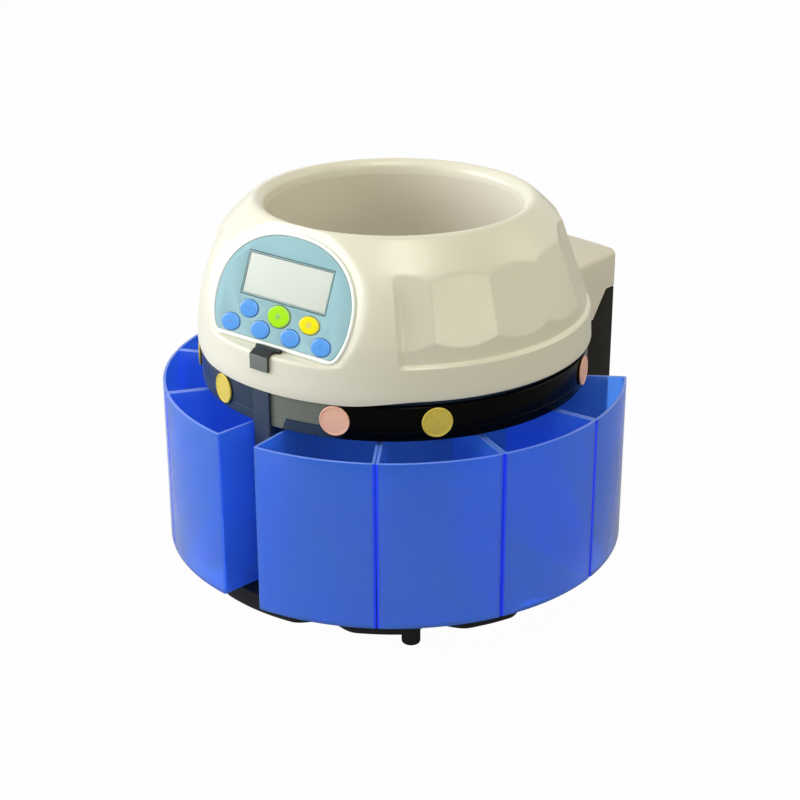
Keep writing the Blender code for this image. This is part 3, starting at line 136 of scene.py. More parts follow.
def set_camera():
    """The camera that was fitted to the photo."""
    azimuth, rise, roll = math.radians(39.006), math.radians(22.7155), math.radians(-0.119)
    back = Vector(
        (math.sin(azimuth) * math.cos(rise), -math.cos(azimuth) * math.cos(rise), math.sin(rise))
    )
    across = Vector((math.cos(azimuth), math.sin(azimuth), 0))
    upward = back.cross(across)
    right = across * math.cos(roll) + upward * math.sin(roll)
    up = upward * math.cos(roll) - across * math.sin(roll)
    bpy.ops.object.camera_add()
    camera = bpy.context.active_object
    camera.name = "photo_camera"
    camera.data.sensor_width = 36
    camera.data.lens = 78.719
    camera.data.clip_start = 0.05
    camera.data.clip_end = 50
    turn = Matrix((right, up, back)).transposed().to_4x4()
    target = across * 0.003689 + Vector((0, 0, 0.126974))
    camera.matrix_world = Matrix.Translation(target + back * 1.263759) @ turn
    bpy.context.scene.camera = camera


def soft_lamp(name, place, aim, size, power, colour):
    bpy.ops.object.light_add(type="AREA", location=place)
    lamp = bpy.context.active_object
    lamp.name = name
    lamp.data.shape = "DISK"
    lamp.data.size = size
    lamp.data.energy = power
    lamp.data.color = colour
    lamp.rotation_euler = (Vector(place) - Vector(aim)).to_track_quat("Z", "Y").to_euler()


def set_light():
    scene = bpy.context.scene
    scene.view_settings.view_transform = "Standard"
    world = bpy.data.worlds.new("studio")
    scene.world = world
    world.use_nodes = True
    nodes, links = world.node_tree.nodes, world.node_tree.links
    nodes.clear()
    path = nodes.new("ShaderNodeLightPath")
    seen = sum_step(nodes, "MAXIMUM")
    through = sum_step(nodes, "MAXIMUM")
    dim = nodes.new("ShaderNodeBackground")
    dim.inputs["Color"].default_value = (1.0, 1.0, 0.93, 1)
    dim.inputs["Strength"].default_value = 0.28
    white = nodes.new("ShaderNodeBackground")
    white.inputs["Color"].default_value = (1, 1, 1, 1)
    white.inputs["Strength"].default_value = 1.0
    mix = nodes.new("ShaderNodeMixShader")
    out = nodes.new("ShaderNodeOutputWorld")
    links.new(path.outputs["Is Camera Ray"], seen.inputs[0])
    links.new(path.outputs["Is Glossy Ray"], seen.inputs[1])
    links.new(seen.outputs[0], through.inputs[0])
    links.new(path.outputs["Is Transmission Ray"], through.inputs[1])
    links.new(through.outputs[0], mix.inputs[0])
    links.new(dim.outputs[0], mix.inputs[1])
    links.new(white.outputs[0], mix.inputs[2])
    links.new(mix.outputs[0], out.inputs["Surface"])
    soft_lamp("key_lamp", (-1.3, -1.2, 0.95), (0, 0, 0.18), 1.2, 24, (0.97, 1.0, 1.06))
    soft_lamp("left_lamp", (-1.7, -0.5, 0.5), (0, 0, 0.12), 0.5, 6, (0.93, 1.0, 1.12))
    soft_lamp("front_lamp", (-0.35, -1.85, 0.45), (0, 0, 0.12), 0.5, 4, (0.95, 1.0, 1.1))
    soft_lamp("top_lamp", (0.5, -0.35, 1.85), (0, 0, 0.2), 0.7, 10.5, (1.0, 0.96, 0.82))
    soft_lamp("side_lamp", (1.58, -0.28, 0.62), (0, 0, 0.2), 0.3, 2.2, (1.0, 0.94, 0.72))
    soft_lamp("back_lamp", (0.9, 1.2, 1.2), (0, 0, 0.2), 0.9, 4, (1.0, 0.95, 0.85))


def set_stage():
    bpy.ops.mesh.primitive_plane_add(size=14, location=(0, 0, 0))
    floor = bpy.context.active_object
    floor.name = "studio_floor"
    made = bpy.data.materials.new("studio_floor_white")
    made.use_nodes = True
    nodes, links = made.node_tree.nodes, made.node_tree.links
    nodes.clear()
    path = nodes.new("ShaderNodeLightPath")
    seen = sum_step(nodes, "MAXIMUM")
    share = sum_step(nodes, "MULTIPLY")
    share.inputs[1].default_value = 0.98
    paper = nodes.new("ShaderNodeBsdfDiffuse")
    paper.inputs["Color"].default_value = (0.62, 0.62, 0.62, 1)
    glow = nodes.new("ShaderNodeEmission")
    glow.inputs["Color"].default_value = (1, 1, 1, 1)
    glow.inputs["Strength"].default_value = 1.0
    mix = nodes.new("ShaderNodeMixShader")
    out = nodes.new("ShaderNodeOutputMaterial")
    links.new(path.outputs["Is Camera Ray"], seen.inputs[0])
    links.new(path.outputs["Is Transmission Ray"], seen.inputs[1])
    links.new(seen.outputs[0], share.inputs[0])
    links.new(share.outputs[0], mix.inputs[0])
    links.new(paper.outputs[0], mix.inputs[1])
    links.new(glow.outputs[0], mix.inputs[2])
    links.new(mix.outputs[0], out.inputs["Surface"])
    floor.data.materials.append(made)


# Shared effects

def effect_group(name, wanted, given):
    """An empty shader group with its named inputs and outputs."""
    tree = bpy.data.node_groups.new(name, "ShaderNodeTree")
    for label, kind, value in wanted:
        socket = tree.interface.new_socket(name=label, in_out="INPUT", socket_type=kind)
        socket.default_value = value
    for label, kind in given:
        tree.interface.new_socket(name=label, in_out="OUTPUT", socket_type=kind)
    return tree, tree.nodes.new("NodeGroupInput"), tree.nodes.new("NodeGroupOutput")


def make_mould_finish():
    """Moulded plastic: a slow drift of tone, a fine grain and faint handling marks."""
    tree, given, out = effect_group(
        "mould_finish",
        (
            ("Base", "NodeSocketColor", (0.8, 0.8, 0.8, 1)),
            ("Drift", "NodeSocketColor", (0.7, 0.7, 0.7, 1)),
            ("Drift Share", "NodeSocketFloat", 0.25),
            ("Drift Scale", "NodeSocketFloat", 9.0),
            ("Grain Scale", "NodeSocketFloat", 1400.0),
            ("Grain Depth", "NodeSocketFloat", 0.00003),
            ("Roughness", "NodeSocketFloat", 0.4),
            ("Spread", "NodeSocketFloat", 0.08),
        ),
        (("Color", "NodeSocketColor"), ("Roughness", "NodeSocketFloat"), ("Normal", "NodeSocketVector")),
    )
    nodes, links = tree.nodes, tree.links
    place = nodes.new("ShaderNodeTexCoord")
    slow = nodes.new("ShaderNodeTexNoise")
    slow.inputs["Detail"].default_value = 3
    fine = nodes.new("ShaderNodeTexNoise")
    fine.inputs["Detail"].default_value = 2
    marks = nodes.new("ShaderNodeTexNoise")
    marks.inputs["Scale"].default_value = 55
    marks.inputs["Detail"].default_value = 6
    marks.inputs["Roughness"].default_value = 0.7
    for texture in (slow, fine, marks):
        links.new(place.outputs["Object"], texture.inputs["Vector"])
    links.new(given.outputs["Drift Scale"], slow.inputs["Scale"])
    links.new(given.outputs["Grain Scale"], fine.inputs["Scale"])
    reach = nodes.new("ShaderNodeMapRange")
    reach.inputs["From Min"].default_value = 0.35
    reach.inputs["From Max"].default_value = 0.65
    links.new(slow.outputs["Fac"], reach.inputs["Value"])
    share = sum_step(nodes, "MULTIPLY")
    links.new(reach.outputs["Result"], share.inputs[0])
    links.new(given.outputs["Drift Share"], share.inputs[1])
    tone = nodes.new("ShaderNodeMix")
    tone.data_type = "RGBA"
    links.new(share.outputs[0], tone.inputs["Factor"])
    links.new(given.outputs["Base"], tone.inputs["A"])
    links.new(given.outputs["Drift"], tone.inputs["B"])
    links.new(tone.outputs["Result"], out.inputs["Color"])
    spread = nodes.new("ShaderNodeMapRange")
    links.new(marks.outputs["Fac"], spread.inputs["Value"])
    less = sum_step(nodes, "SUBTRACT")
    links.new(given.outputs["Roughness"], less.inputs[0])
    links.new(given.outputs["Spread"], less.inputs[1])
    more = sum_step(nodes, "ADD")
    links.new(given.outputs["Roughness"], more.inputs[0])
    links.new(given.outputs["Spread"], more.inputs[1])
    spread.inputs["From Min"].default_value = 0.3
    spread.inputs["From Max"].default_value = 0.7
    links.new(less.outputs[0], spread.inputs["To Min"])
    links.new(more.outputs[0], spread.inputs["To Max"])
    links.new(spread.outputs["Result"], out.inputs["Roughness"])
    bump = nodes.new("ShaderNodeBump")
    bump.inputs["Strength"].default_value = 1.0
    links.new(given.outputs["Grain Depth"], bump.inputs["Distance"])
    links.new(fine.outputs["Fac"], bump.inputs["Height"])
    links.new(bump.outputs["Normal"], out.inputs["Normal"])
    return tree


def make_brushed_finish():
    """Metal brushed along one direction: stretched streaks in tone, gloss and relief."""
    tree, given, out = effect_group(
        "brushed_finish",
        (
            ("Base", "NodeSocketColor", (0.6, 0.6, 0.6, 1)),
            ("Streak", "NodeSocketColor", (0.4, 0.4, 0.4, 1)),
            ("Stretch", "NodeSocketVector", (60.0, 2600.0, 2600.0)),
            ("Roughness", "NodeSocketFloat", 0.3),
            ("Spread", "NodeSocketFloat", 0.08),
            ("Depth", "NodeSocketFloat", 0.00002),
        ),
        (("Color", "NodeSocketColor"), ("Roughness", "NodeSocketFloat"), ("Normal", "NodeSocketVector")),
    )
    nodes, links = tree.nodes, tree.links
    place = nodes.new("ShaderNodeTexCoord")
    pull = nodes.new("ShaderNodeVectorMath")
    pull.operation = "MULTIPLY"
    links.new(place.outputs["Object"], pull.inputs[0])
    links.new(given.outputs["Stretch"], pull.inputs[1])
    streak = nodes.new("ShaderNodeTexNoise")
    streak.inputs["Scale"].default_value = 1.0
    streak.inputs["Detail"].default_value = 4
    links.new(pull.outputs[0], streak.inputs["Vector"])
    tone = nodes.new("ShaderNodeMix")
    tone.data_type = "RGBA"
    links.new(streak.outputs["Fac"], tone.inputs["Factor"])
    links.new(given.outputs["Base"], tone.inputs["A"])
    links.new(given.outputs["Streak"], tone.inputs["B"])
    links.new(tone.outputs["Result"], out.inputs["Color"])
    wide = sum_step(nodes, "MULTIPLY_ADD")
    links.new(streak.outputs["Fac"], wide.inputs[0])
    links.new(given.outputs["Spread"], wide.inputs[1])
    links.new(given.outputs["Roughness"], wide.inputs[2])
    links.new(wide.outputs[0], out.inputs["Roughness"])
    bump = nodes.new("ShaderNodeBump")
    bump.inputs["Strength"].default_value = 1.0
    links.new(given.outputs["Depth"], bump.inputs["Distance"])
    links.new(streak.outputs["Fac"], bump.inputs["Height"])
    links.new(bump.outputs["Normal"], out.inputs["Normal"])
    return tree


def finished(name, group, values, metallic=0.0, coat=0.0, transmission=0.0, ior=1.5, depth_glow=None,
             gloss=0.5, glow=None):
    """A material whose colour, gloss and relief come from one shared effect."""
    made = bpy.data.materials.new(name)
    made.use_nodes = True
    nodes, links = made.node_tree.nodes, made.node_tree.links
    shader = nodes["Principled BSDF"]
    effect = nodes.new("ShaderNodeGroup")
    effect.node_tree = group
    for label, value in values.items():
        effect.inputs[label].default_value = value
    links.new(effect.outputs["Color"], shader.inputs["Base Color"])
    links.new(effect.outputs["Roughness"], shader.inputs["Roughness"])
    links.new(effect.outputs["Normal"], shader.inputs["Normal"])
    shader.inputs["Metallic"].default_value = metallic
    shader.inputs["Coat Weight"].default_value = coat
    shader.inputs["Coat Roughness"].default_value = 0.08
    shader.inputs["Transmission Weight"].default_value = transmission
    shader.inputs["IOR"].default_value = ior
    shader.inputs["Specular IOR Level"].default_value = gloss
    if depth_glow:
        shader.subsurface_method = "BURLEY"
        shader.inputs["Subsurface Weight"].default_value = 1.0
        shader.inputs["Subsurface Radius"].default_value = depth_glow
        shader.inputs["Subsurface Scale"].default_value = 0.006
    if glow:
        links.new(effect.outputs["Color"], shader.inputs["Emission Color"])
        shader.inputs["Emission Strength"].default_value = glow
    return made


def make_ring_painted_reflection():
    """The band's colour: its own black round to the right, with painted reflection towards the front, slate at the
    left and a lit olive patch beside the pillar.
    """
    tree, _, out = effect_group("ring_painted_reflection", (), (("Color", "NodeSocketColor"),))
    nodes, links = tree.nodes, tree.links
    place = nodes.new("ShaderNodeTexCoord")
    parts = nodes.new("ShaderNodeSeparateXYZ")
    links.new(place.outputs["Object"], parts.inputs[0])
    front = sum_step(nodes, "MULTIPLY")
    front.inputs[1].default_value = -1
    links.new(parts.outputs["Y"], front.inputs[0])
    turn = sum_step(nodes, "ARCTAN2")
    links.new(parts.outputs["X"], turn.inputs[0])
    links.new(front.outputs[0], turn.inputs[1])

    def ramp(source, start, end, low=0.0, high=1.0):
        reach = nodes.new("ShaderNodeMapRange")
        reach.interpolation_type = "SMOOTHSTEP"
        reach.inputs["From Min"].default_value = start
        reach.inputs["From Max"].default_value = end
        reach.inputs["To Min"].default_value = low
        reach.inputs["To Max"].default_value = high
        links.new(source, reach.inputs["Value"])
        return reach.outputs["Result"]

    def joined(operation, a, b):
        step = sum_step(nodes, operation)
        links.new(a, step.inputs[0])
        links.new(b, step.inputs[1])
        return step.outputs[0]

    def blended(mask, a, b):
        mix = nodes.new("ShaderNodeMix")
        mix.data_type = "RGBA"
        links.new(mask, mix.inputs["Factor"])
        for value, socket in ((a, mix.inputs["A"]), (b, mix.inputs["B"])):
            if isinstance(value, tuple):
                socket.default_value = value
            else:
                links.new(value, socket)
        return mix.outputs["Result"]

    # Past 20 to 26 degrees the band keeps its own black; in front of that its colour is painted reflection.
    dark = ramp(turn.outputs[0], math.radians(20), math.radians(26))
    beside = ramp(turn.outputs[0], math.radians(2.4), math.radians(2.7))
    foot = ramp(turn.outputs[0], math.radians(6.2), math.radians(8.2), 0.1545, 0.1635)
    above = sum_step(nodes, "GREATER_THAN")
    links.new(parts.outputs["Z"], above.inputs[0])
    links.new(foot, above.inputs[1])
    # Beside the pillar and above a foot line, a painted highlight: the lit olive patch.
    olive = joined("MULTIPLY", beside, above.outputs[0])
    # Slate at the left is a painted reflection on the black band.
    tone = blended(olive, paint("#3A4656"), paint("#787C70"))
    links.new(blended(dark, tone, paint("#050403")), out.inputs["Color"])
    return tree


def ring_finish(mould):
    values = {"Grain Depth": 0.00001, "Roughness": 0.18, "Spread": 0.03}
    made = finished("ring_gloss", mould, values, gloss=0.05)
    nodes, links = made.node_tree.nodes, made.node_tree.links
    # The band's colour comes from the painted reflection group.
    tone = nodes.new("ShaderNodeGroup")
    tone.node_tree = make_ring_painted_reflection()
    links.new(tone.outputs["Color"], nodes["Principled BSDF"].inputs["Base Color"])
    return made


def make_materials():
    mould, brushed = make_mould_finish(), make_brushed_finish()

    def moulded(name, base, drift, roughness, grain=1400.0, depth=0.00003, share=0.3, **more):
        values = {
            "Base": paint(base),
            "Drift": paint(drift),
            "Drift Share": share,
            "Grain Scale": grain,
            "Grain Depth": depth,
            "Roughness": roughness,
            "Spread": roughness * 0.18,
        }
        return finished(name, mould, values, **more)

    def metal(name, base, streak, roughness, stretch=(60.0, 2600.0, 2600.0), metallic=1.0):
        values = {
            "Base": paint(base),
            "Streak": paint(streak),
            "Stretch": stretch,
            "Roughness": roughness,
        }
        return finished(name, brushed, values, metallic=metallic)

    return {
        "housing": moulded("cream_housing", "#E6E2CE", "#E0DCC6", 0.34, coat=0.08, gloss=0.5),
        "hopper": moulded("hopper_beige", "#E2DAC9", "#D8CFBC", 0.6, gloss=0.3),
        "cover": moulded("cover_beige", "#E4DECC", "#DAD3C0", 0.42, coat=0.05),
        "panel": moulded("panel_teal", "#94BBC1", "#9CBEC3", 0.6, grain=2600.0, share=0.6, gloss=0.1),
        "rim": moulded("panel_rim_white", "#E9EEE6", "#E2E9E0", 0.34),
        "frame_line": moulded("display_frame", "#5F7F7C", "#567370", 0.3),
        "screen": moulded(
            "display_screen", "#D8DCD2", "#CFD5C9", 0.5, grain=300.0, depth=0.0, share=0.8, gloss=0.15
        ),
        "blue_key": moulded("blue_key_cap", "#4C94E0", "#589CE4", 0.45, gloss=0.12),
        "blue_ring": moulded("blue_key_edge", "#3E86D8", "#4F8FD8", 0.3, coat=0.2),
        "green_key": moulded("green_key_cap", "#A2E210", "#A8E61C", 0.5, gloss=0.06),
        "green_ring": moulded("green_key_edge", "#7FA83C", "#86AF42", 0.3, coat=0.2),
        "yellow_key": moulded("yellow_key_cap", "#EEE200", "#EADC00", 0.5, gloss=0.05),
        "yellow_ring": moulded("yellow_key_edge", "#C2B528", "#CABD30", 0.3, coat=0.2),
        "blue_mark": moulded("blue_key_mark", "#2C66A8", "#2C66A8", 0.4),
        "green_mark": moulded("green_key_mark", "#6FAE2A", "#6FAE2A", 0.4),
        "yellow_mark": moulded("yellow_key_mark", "#C9B400", "#C9B400", 0.4),
        "gloss_black": moulded(
            "gloss_black", "#080808", "#0E0E0E", 0.16, depth=0.00001, coat=0.05, gloss=0.1
        ),
        "ring": ring_finish(mould),
        "latch_black": moulded("latch_black", "#2C302E", "#343835", 0.42, gloss=0.15),
        # A lit copy of the latch black: painted light on the latch's front face.
        "latch_lit_face": moulded("latch_lit_face", "#828680", "#6A6E69", 0.34, share=0.8, gloss=0.3),
        "post_black": moulded("post_black", "#1B1813", "#231F19", 0.5, gloss=0.12),
        "base_black": moulded("base_black", "#19191B", "#202022", 0.45, gloss=0.15),
        "slate": moulded("slate_plastic", "#2C3A50", "#323F54", 0.42, gloss=0.25),
        "rubber": moulded("foot_rubber", "#050605", "#0B0D0B", 0.85, grain=900.0, depth=0.00008),
        # The trays' faint emission is painted light, standing in for light scattered in the plastic.
        "tray": moulded(
            "tray_blue", "#5CA0FF", "#66A8FF", 0.07, grain=600.0, depth=0.000002, transmission=0.75, ior=1.46,
            depth_glow=(0.15, 0.4, 1.0), glow=0.035,
        ),
        # Top rims: a lighter, less clear copy of the tray blue, a painted highlight along the rims.
        "tray_rim_highlight": moulded("tray_rim_painted_highlight", "#7AA2FF", "#86ACFF", 0.2, transmission=0.3, ior=1.46),
        # Outer corners: a deeper blue that glows, painted light along the corner lines.
        "tray_glowing_corner": moulded(
            "tray_glowing_corner_painted", "#1A40FF", "#2850FF", 0.2, transmission=0.1, ior=1.46, glow=0.15
        ),
        "steel": metal("brushed_steel", "#C4C5C6", "#A9AAAB", 0.24),
        "disc_steel": metal("disc_steel", "#BFC0C1", "#A3A4A5", 0.27, stretch=(900.0, 90.0, 900.0)),
        "bronze": metal("bush_bronze", "#B08A55", "#94713F", 0.34, stretch=(400.0, 400.0, 2600.0)),
        "gold": metal("coin_gold", "#F4DC58", "#DCC048", 0.42, stretch=(700.0, 700.0, 500.0), metallic=0.15),
        "copper": metal(
            "coin_copper", "#FFD0B0", "#FFBA9A", 0.46, stretch=(700.0, 700.0, 500.0), metallic=0.0
        ),
        "board": moulded("board_green", "#1F5A36", "#25643D", 0.42, grain=2200.0),
        "gear": moulded("gear_nylon", "#E6E4DC", "#DEDBD0", 0.42),
        "mark_white": moulded("mark_white", "#E8E8E4", "#DEDED8", 0.4),
    }


# Modelling helpers

def clear_selection():
    if bpy.context.mode != "OBJECT":
        bpy.ops.object.mode_set(mode="OBJECT")
    bpy.ops.object.select_all(action="DESELECT")


def newest(name):
    piece = bpy.context.active_object
    piece.name = name
    piece.data.name = name
    return piece


def pick(piece):
    clear_selection()
    piece.select_set(True)
    bpy.context.view_layer.objects.active = piece
    return piece


def tidy_mesh(piece):
    """Merges doubled points and turns every face outwards."""
    pick(piece)
    bpy.ops.object.mode_set(mode="EDIT")
    bpy.ops.mesh.select_all(action="SELECT")
    bpy.ops.mesh.remove_doubles(threshold=WELD)
    bpy.ops.mesh.normals_make_consistent(inside=False)
    bpy.ops.object.mode_set(mode="OBJECT")
    return piece


def turned(name, profile, steps=192):
    """A closed profile of (radius, height) in millimetres, spun about the upright axis."""
    clear_selection()
    bpy.ops.mesh.primitive_circle_add(vertices=3, radius=MM)
    piece = newest(name)
    bpy.ops.object.mode_set(mode="EDIT")
    bpy.ops.mesh.select_all(action="SELECT")
    bpy.ops.mesh.merge(type="CENTER")
    line = list(profile) + [profile[0]]
    bpy.ops.transform.translate(value=(line[0][0] * MM, 0, line[0][1] * MM))
    for before, here in zip(line, line[1:]):
        step = ((here[0] - before[0]) * MM, 0, (here[1] - before[1]) * MM)
        bpy.ops.mesh.extrude_region_move(TRANSFORM_OT_translate={"value": step})
    bpy.ops.mesh.select_all(action="SELECT")
    bpy.ops.mesh.spin(steps=steps, angle=2 * math.pi, center=(0, 0, 0), axis=(0, 0, 1))
    return tidy_mesh(piece)


def plate(name, outline, low, high, matrix=None):
    """A flat outline in millimetres, extruded from low to high along its own Z."""
    clear_selection()
    bpy.ops.mesh.primitive_circle_add(vertices=len(outline), fill_type="NGON", radius=1)
    piece = newest(name)
    for point, (x, y) in zip(piece.data.vertices, outline):
        point.co = (x * MM, y * MM, low * MM)
    bpy.ops.object.mode_set(mode="EDIT")
    bpy.ops.mesh.select_all(action="SELECT")
    bpy.ops.mesh.extrude_region_move(TRANSFORM_OT_translate={"value": (0, 0, (high - low) * MM)})
    tidy_mesh(piece)
    if matrix is not None:
        piece.data.transform(matrix)
    return piece


def block(name, size, centre, matrix=None):
    """A box in millimetres."""
    clear_selection()
    bpy.ops.mesh.primitive_cube_add(size=1)
    piece = newest(name)
    scale = Matrix.Diagonal((size[0] * MM, size[1] * MM, size[2] * MM, 1))
    piece.data.transform(Matrix.Translation(Vector(centre) * MM) @ scale)
    if matrix is not None:
        piece.data.transform(matrix)
    return piece


def rod(name, radius, start, end, steps=48):
    """A round bar in millimetres from one point to another."""
    start, end = Vector(start) * MM, Vector(end) * MM
    along = end - start
    clear_selection()
    bpy.ops.mesh.primitive_cylinder_add(vertices=steps, radius=radius * MM, depth=along.length)
    piece = newest(name)
    turn = along.to_track_quat("Z", "Y").to_matrix().to_4x4()
    piece.data.transform(Matrix.Translation((start + end) / 2) @ turn)
    return piece


def cut(piece, *tools, solver="EXACT"):
    for tool in tools:
        pick(piece)
        step = piece.modifiers.new("cut", "BOOLEAN")
        step.operation = "DIFFERENCE"
        step.solver = solver
        step.object = tool
        bpy.ops.object.modifier_apply(modifier=step.name)
        bpy.data.objects.remove(tool)
    return piece


def fuse(piece, *others):
    for other in others:
        pick(piece)
        step = piece.modifiers.new("fuse", "BOOLEAN")
        step.operation = "UNION"
        step.solver = "EXACT"
        step.object = other
        bpy.ops.object.modifier_apply(modifier=step.name)
        bpy.data.objects.remove(other)
    return piece


def gather(piece, *others):
    """Joins separate shells into one piece without changing them."""
    pick(piece)
    for other in others:
        other.select_set(True)
    bpy.ops.object.join()
    return piece


def soften(piece, width, segments=2, angle=32):
    """Rounds the sharp edges. Width is in millimetres."""
    pick(piece)
    step = piece.modifiers.new("soften", "BEVEL")
    step.width = width * MM
    step.segments = segments
    step.limit_method = "ANGLE"
    step.angle_limit = math.radians(angle)
    step.harden_normals = False
    bpy.ops.object.modifier_apply(modifier=step.name)
    return piece


def smooth(piece, angle=32):
    pick(piece)
    bpy.ops.object.shade_smooth_by_angle(angle=math.radians(angle))
    return piece


def copy_of(piece, name, matrix=None):
    twin = piece.copy()
    twin.data = piece.data.copy()
    twin.name = name
    twin.data.name = name
    bpy.context.scene.collection.objects.link(twin)
    if matrix is not None:
        twin.data.transform(matrix)
    return twin


def coat_faces(piece, material, chosen):
    """Gives the faces that pass a test a second material."""
    piece.data.materials.append(material)
    index = len(piece.data.materials) - 1
    for face in piece.data.polygons:
        if chosen(face):
            face.material_index = index
    return piece


def hand_over(piece, material, body, slot, *nodes):
    """Gives a finished piece its material, its body and the solids that it stands for."""
    if not any(piece.data.materials):
        piece.data.materials.clear()
        piece.data.materials.append(material)
    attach(piece, body)
    if nodes:
        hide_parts(*nodes)
    return piece


def polar(radius, azimuth):
    """A point on the plan. The azimuth is in degrees from the front towards the right."""
    turn = math.radians(azimuth)
    return (radius * math.sin(turn), -radius * math.cos(turn))


def turn_to(azimuth):
    """Takes what is made facing the front round to an azimuth."""
    return Matrix.Rotation(math.radians(azimuth), 4, "Z")


def tray_azimuth(side, index):
    return side * (FRONT_GAP_HALF + TRAY_PITCH * (index + 0.5))


def tray_places():
    return [(side, index) for side in (1, -1) for index in range(4)]


def side_name(side):
    return "right" if side > 0 else "left"


def ease(value):
    """Rises smoothly from 0 to 1."""
    value = min(1.0, max(0.0, value))
    return value * value * (3 - 2 * value)


def soft_least(a, b, blend):
    """The lesser of two values, rounded over where they meet."""
    share = min(1.0, max(0.0, 0.5 + 0.5 * (b - a) / blend))
    return b + (a - b) * share - blend * share * (1 - share)


def curve_through(points, spacing):
    """Points along a smooth line through the given ones."""
    line = []
    last = len(points) - 1
    for i in range(last):
        p0, p1 = points[max(0, i - 1)], points[i]
        p2, p3 = points[i + 1], points[min(last, i + 2)]
        count = max(1, round(math.dist(p1, p2) / spacing))
        for j in range(count):
            t = j / count
            line.append(
                tuple(
                    0.5 * (2 * b + (c - a) * t + (2 * a - 5 * b + 4 * c - d) * t**2
                           + (3 * b - a - 3 * c + d) * t**3)
                    for a, b, c, d in zip(p0, p1, p2, p3)
                )
            )
    return line + [points[-1]]


# Dome

def panel_radius(height, azimuth, depth):
    """How far out the panel's plane stands at a height and azimuth, at a depth behind its face."""
    across = math.cos(math.radians(azimuth))
    if across < 0.3:
        return 1000.0
    reach = PANEL_REACH - (height - PANEL_DATUM) * math.tan(PANEL_LEAN) - depth / math.cos(PANEL_LEAN)
    return reach / across


def facet_reach(away):
    """The facets' distance from the axis at height 240. The rearmost two stand further in."""
    return FACET_REACH - REAR_FACET_INSET * ease((away - 96) / 22)


def facet_middle(away):
    return FACET_START + FACET_WIDTH * round((away - FACET_START) / FACET_WIDTH)


def facet_radius(height, away):
    lean = facet_reach(away) - FACET_SLOPE * (height - FACET_DATUM)
    return lean / math.cos(math.radians(away - facet_middle(away)))


def cove_top(away):
    """The height where the upright cove meets a leaning facet."""
    turn = math.cos(math.radians(away - facet_middle(away)))
    return FACET_DATUM + (facet_reach(away) - COVE_RADIUS * turn) / FACET_SLOPE


def facet_top(away, radius_at):
    """The height where a facet runs out into the dome."""
    low, high = 235.0, 279.0
    for _ in range(24):
        middle = (low + high) / 2
        if radius_at(middle) > facet_radius(middle, away):
            low = middle
        else:
            high = middle
    return low


def recess_start(height):
    """The recess's front edge leans a little to the rear towards its foot."""
    return 38.5 + 2.0 * min(1.0, max(0.0, (262 - height) / 57.5))


def recess_radius(height, azimuth):
    """The side recess: a cove below leaning facets."""
    return soft_least(COVE_RADIUS, facet_radius(height, abs(azimuth)), 0.3)


def dome_surface(radius, height, azimuth, ledge_share, recess_share):
    """The dome's outer radius at a point of its turned line, with the recesses and the panel seat."""
    away = abs(azimuth)
    step = min(1.0, max(0.0, (away - recess_start(height)) / 2.6))
    inside = (1 - (1 - step) ** 2.4) * (1 - ease((away - 149.3) / 1.2))
    if inside > 0 and recess_share > 0:
        target = soft_least(radius, recess_radius(height, azimuth), 0.5)
        radius += (min(radius, target) - radius) * inside * recess_share
    if away < 60:
        seat = panel_radius(max(height, LEDGE), azimuth, SEAT_DEPTH)
        depth = radius - seat
        if ledge_share is None:
            if height > LEDGE:
                radius = soft_least(radius, seat, 1.6)
        elif depth > 0:
            corner = 2.2 * ease(depth / 4)
            if ledge_share < 0:
                radius -= corner * (1 - math.sqrt(1 - (1 + ledge_share) ** 2))
            else:
                radius += (seat - (radius - corner)) * ledge_share - corner
    return radius


def front_edge(azimuth):
    """The dome's lower edge hangs lower at the front."""
    return FRONT_EDGE + (SIDE_EDGE - FRONT_EDGE) * ease((abs(azimuth) - 24) / 22)


def dome_rows():
    """Rows of the dome's closed line: (radius, height, ledge share, recess share, place)."""
    rows = []
    upper = curve_through(DOME_LINE, 1.3)

    def radius_at(height):
        for (r0, z0), (r1, z1) in zip(upper, upper[1:]):
            if z0 <= height <= z1:
                return r0 + (r1 - r0) * (height - z0) / (z1 - z0)
        return upper[-1][0]

    rows.append((138.3, 183.0, None, 0, "edge"))
    rows.append((138.75, 183.12, None, 0, "edge"))
    rows.append((138.9, 183.6, None, 0, "edge"))
    for height in (186.5, 190, 194, 198, 201, 202.3):
        rows.append((radius_at(height), height, None, 0, "outer"))
    for share, height in ((-0.7, 202.96), (-0.45, 203.51), (-0.25, 203.95), (-0.1, 204.28), (-0.02, 204.46)):
        rows.append((radius_at(height), height, share, 0, "outer"))
    for i, share in enumerate((0.0, 0.12, 0.4, 0.7, 0.93)):
        rows.append((radius_at(LEDGE), LEDGE + 0.02 * i, share, 0, "ledge"))
    ledge = ((204.6, 0.0), (204.9, 0.1), (205.3, 0.2), (205.75, 0.34), (206.1, 0.5), (206.35, 0.66),
             (206.5, 0.8), (206.65, 0.9), (207.0, 0.96), (207.6, 0.99))
    for height, share in ledge:
        rows.append((radius_at(height), height, None, share, "outer"))
    creases = [COVE_ROW - 0.8, COVE_ROW, COVE_ROW + 0.8, FACET_ROW - 0.8, FACET_ROW, FACET_ROW + 0.8]
    plain = [z for r, z in upper if z > 208.2 and min(abs(z - crease) for crease in creases) > 0.5]
    heights = sorted(plain + creases)
    ends = {z: r for r, z in upper}
    rows += [(ends.get(z) or radius_at(z), z, None, 1, "outer") for z in heights]
    lip = ((95.0, 280.45), (94.0, 280.05), (93.0, 279.4), (92.1, 278.65), (91.3, 277.85), (90.6, 276.9),
           (90.1, 275.8), (89.85, 274.6), (89.4, 271.2), (92.9, 271.2), (93.2, 271.6), (93.2, 277.0),
           (96.0, 277.6), (99.0, 276.2), (102.0, 273.8), (106.0, 270.4))
    rows += [(r, z, None, 0, "lip") for r, z in lip]
    for height in (266, 258, 250, 242, 234, 226, 218, 211, 206, 201.6, 200.5, 195, 189):
        rows.append((radius_at(height + 2.2) - 2.6, height, None, 0, "inner"))
    rows.append((136.2, 183.4, None, 0, "edge"))
    return rows, radius_at


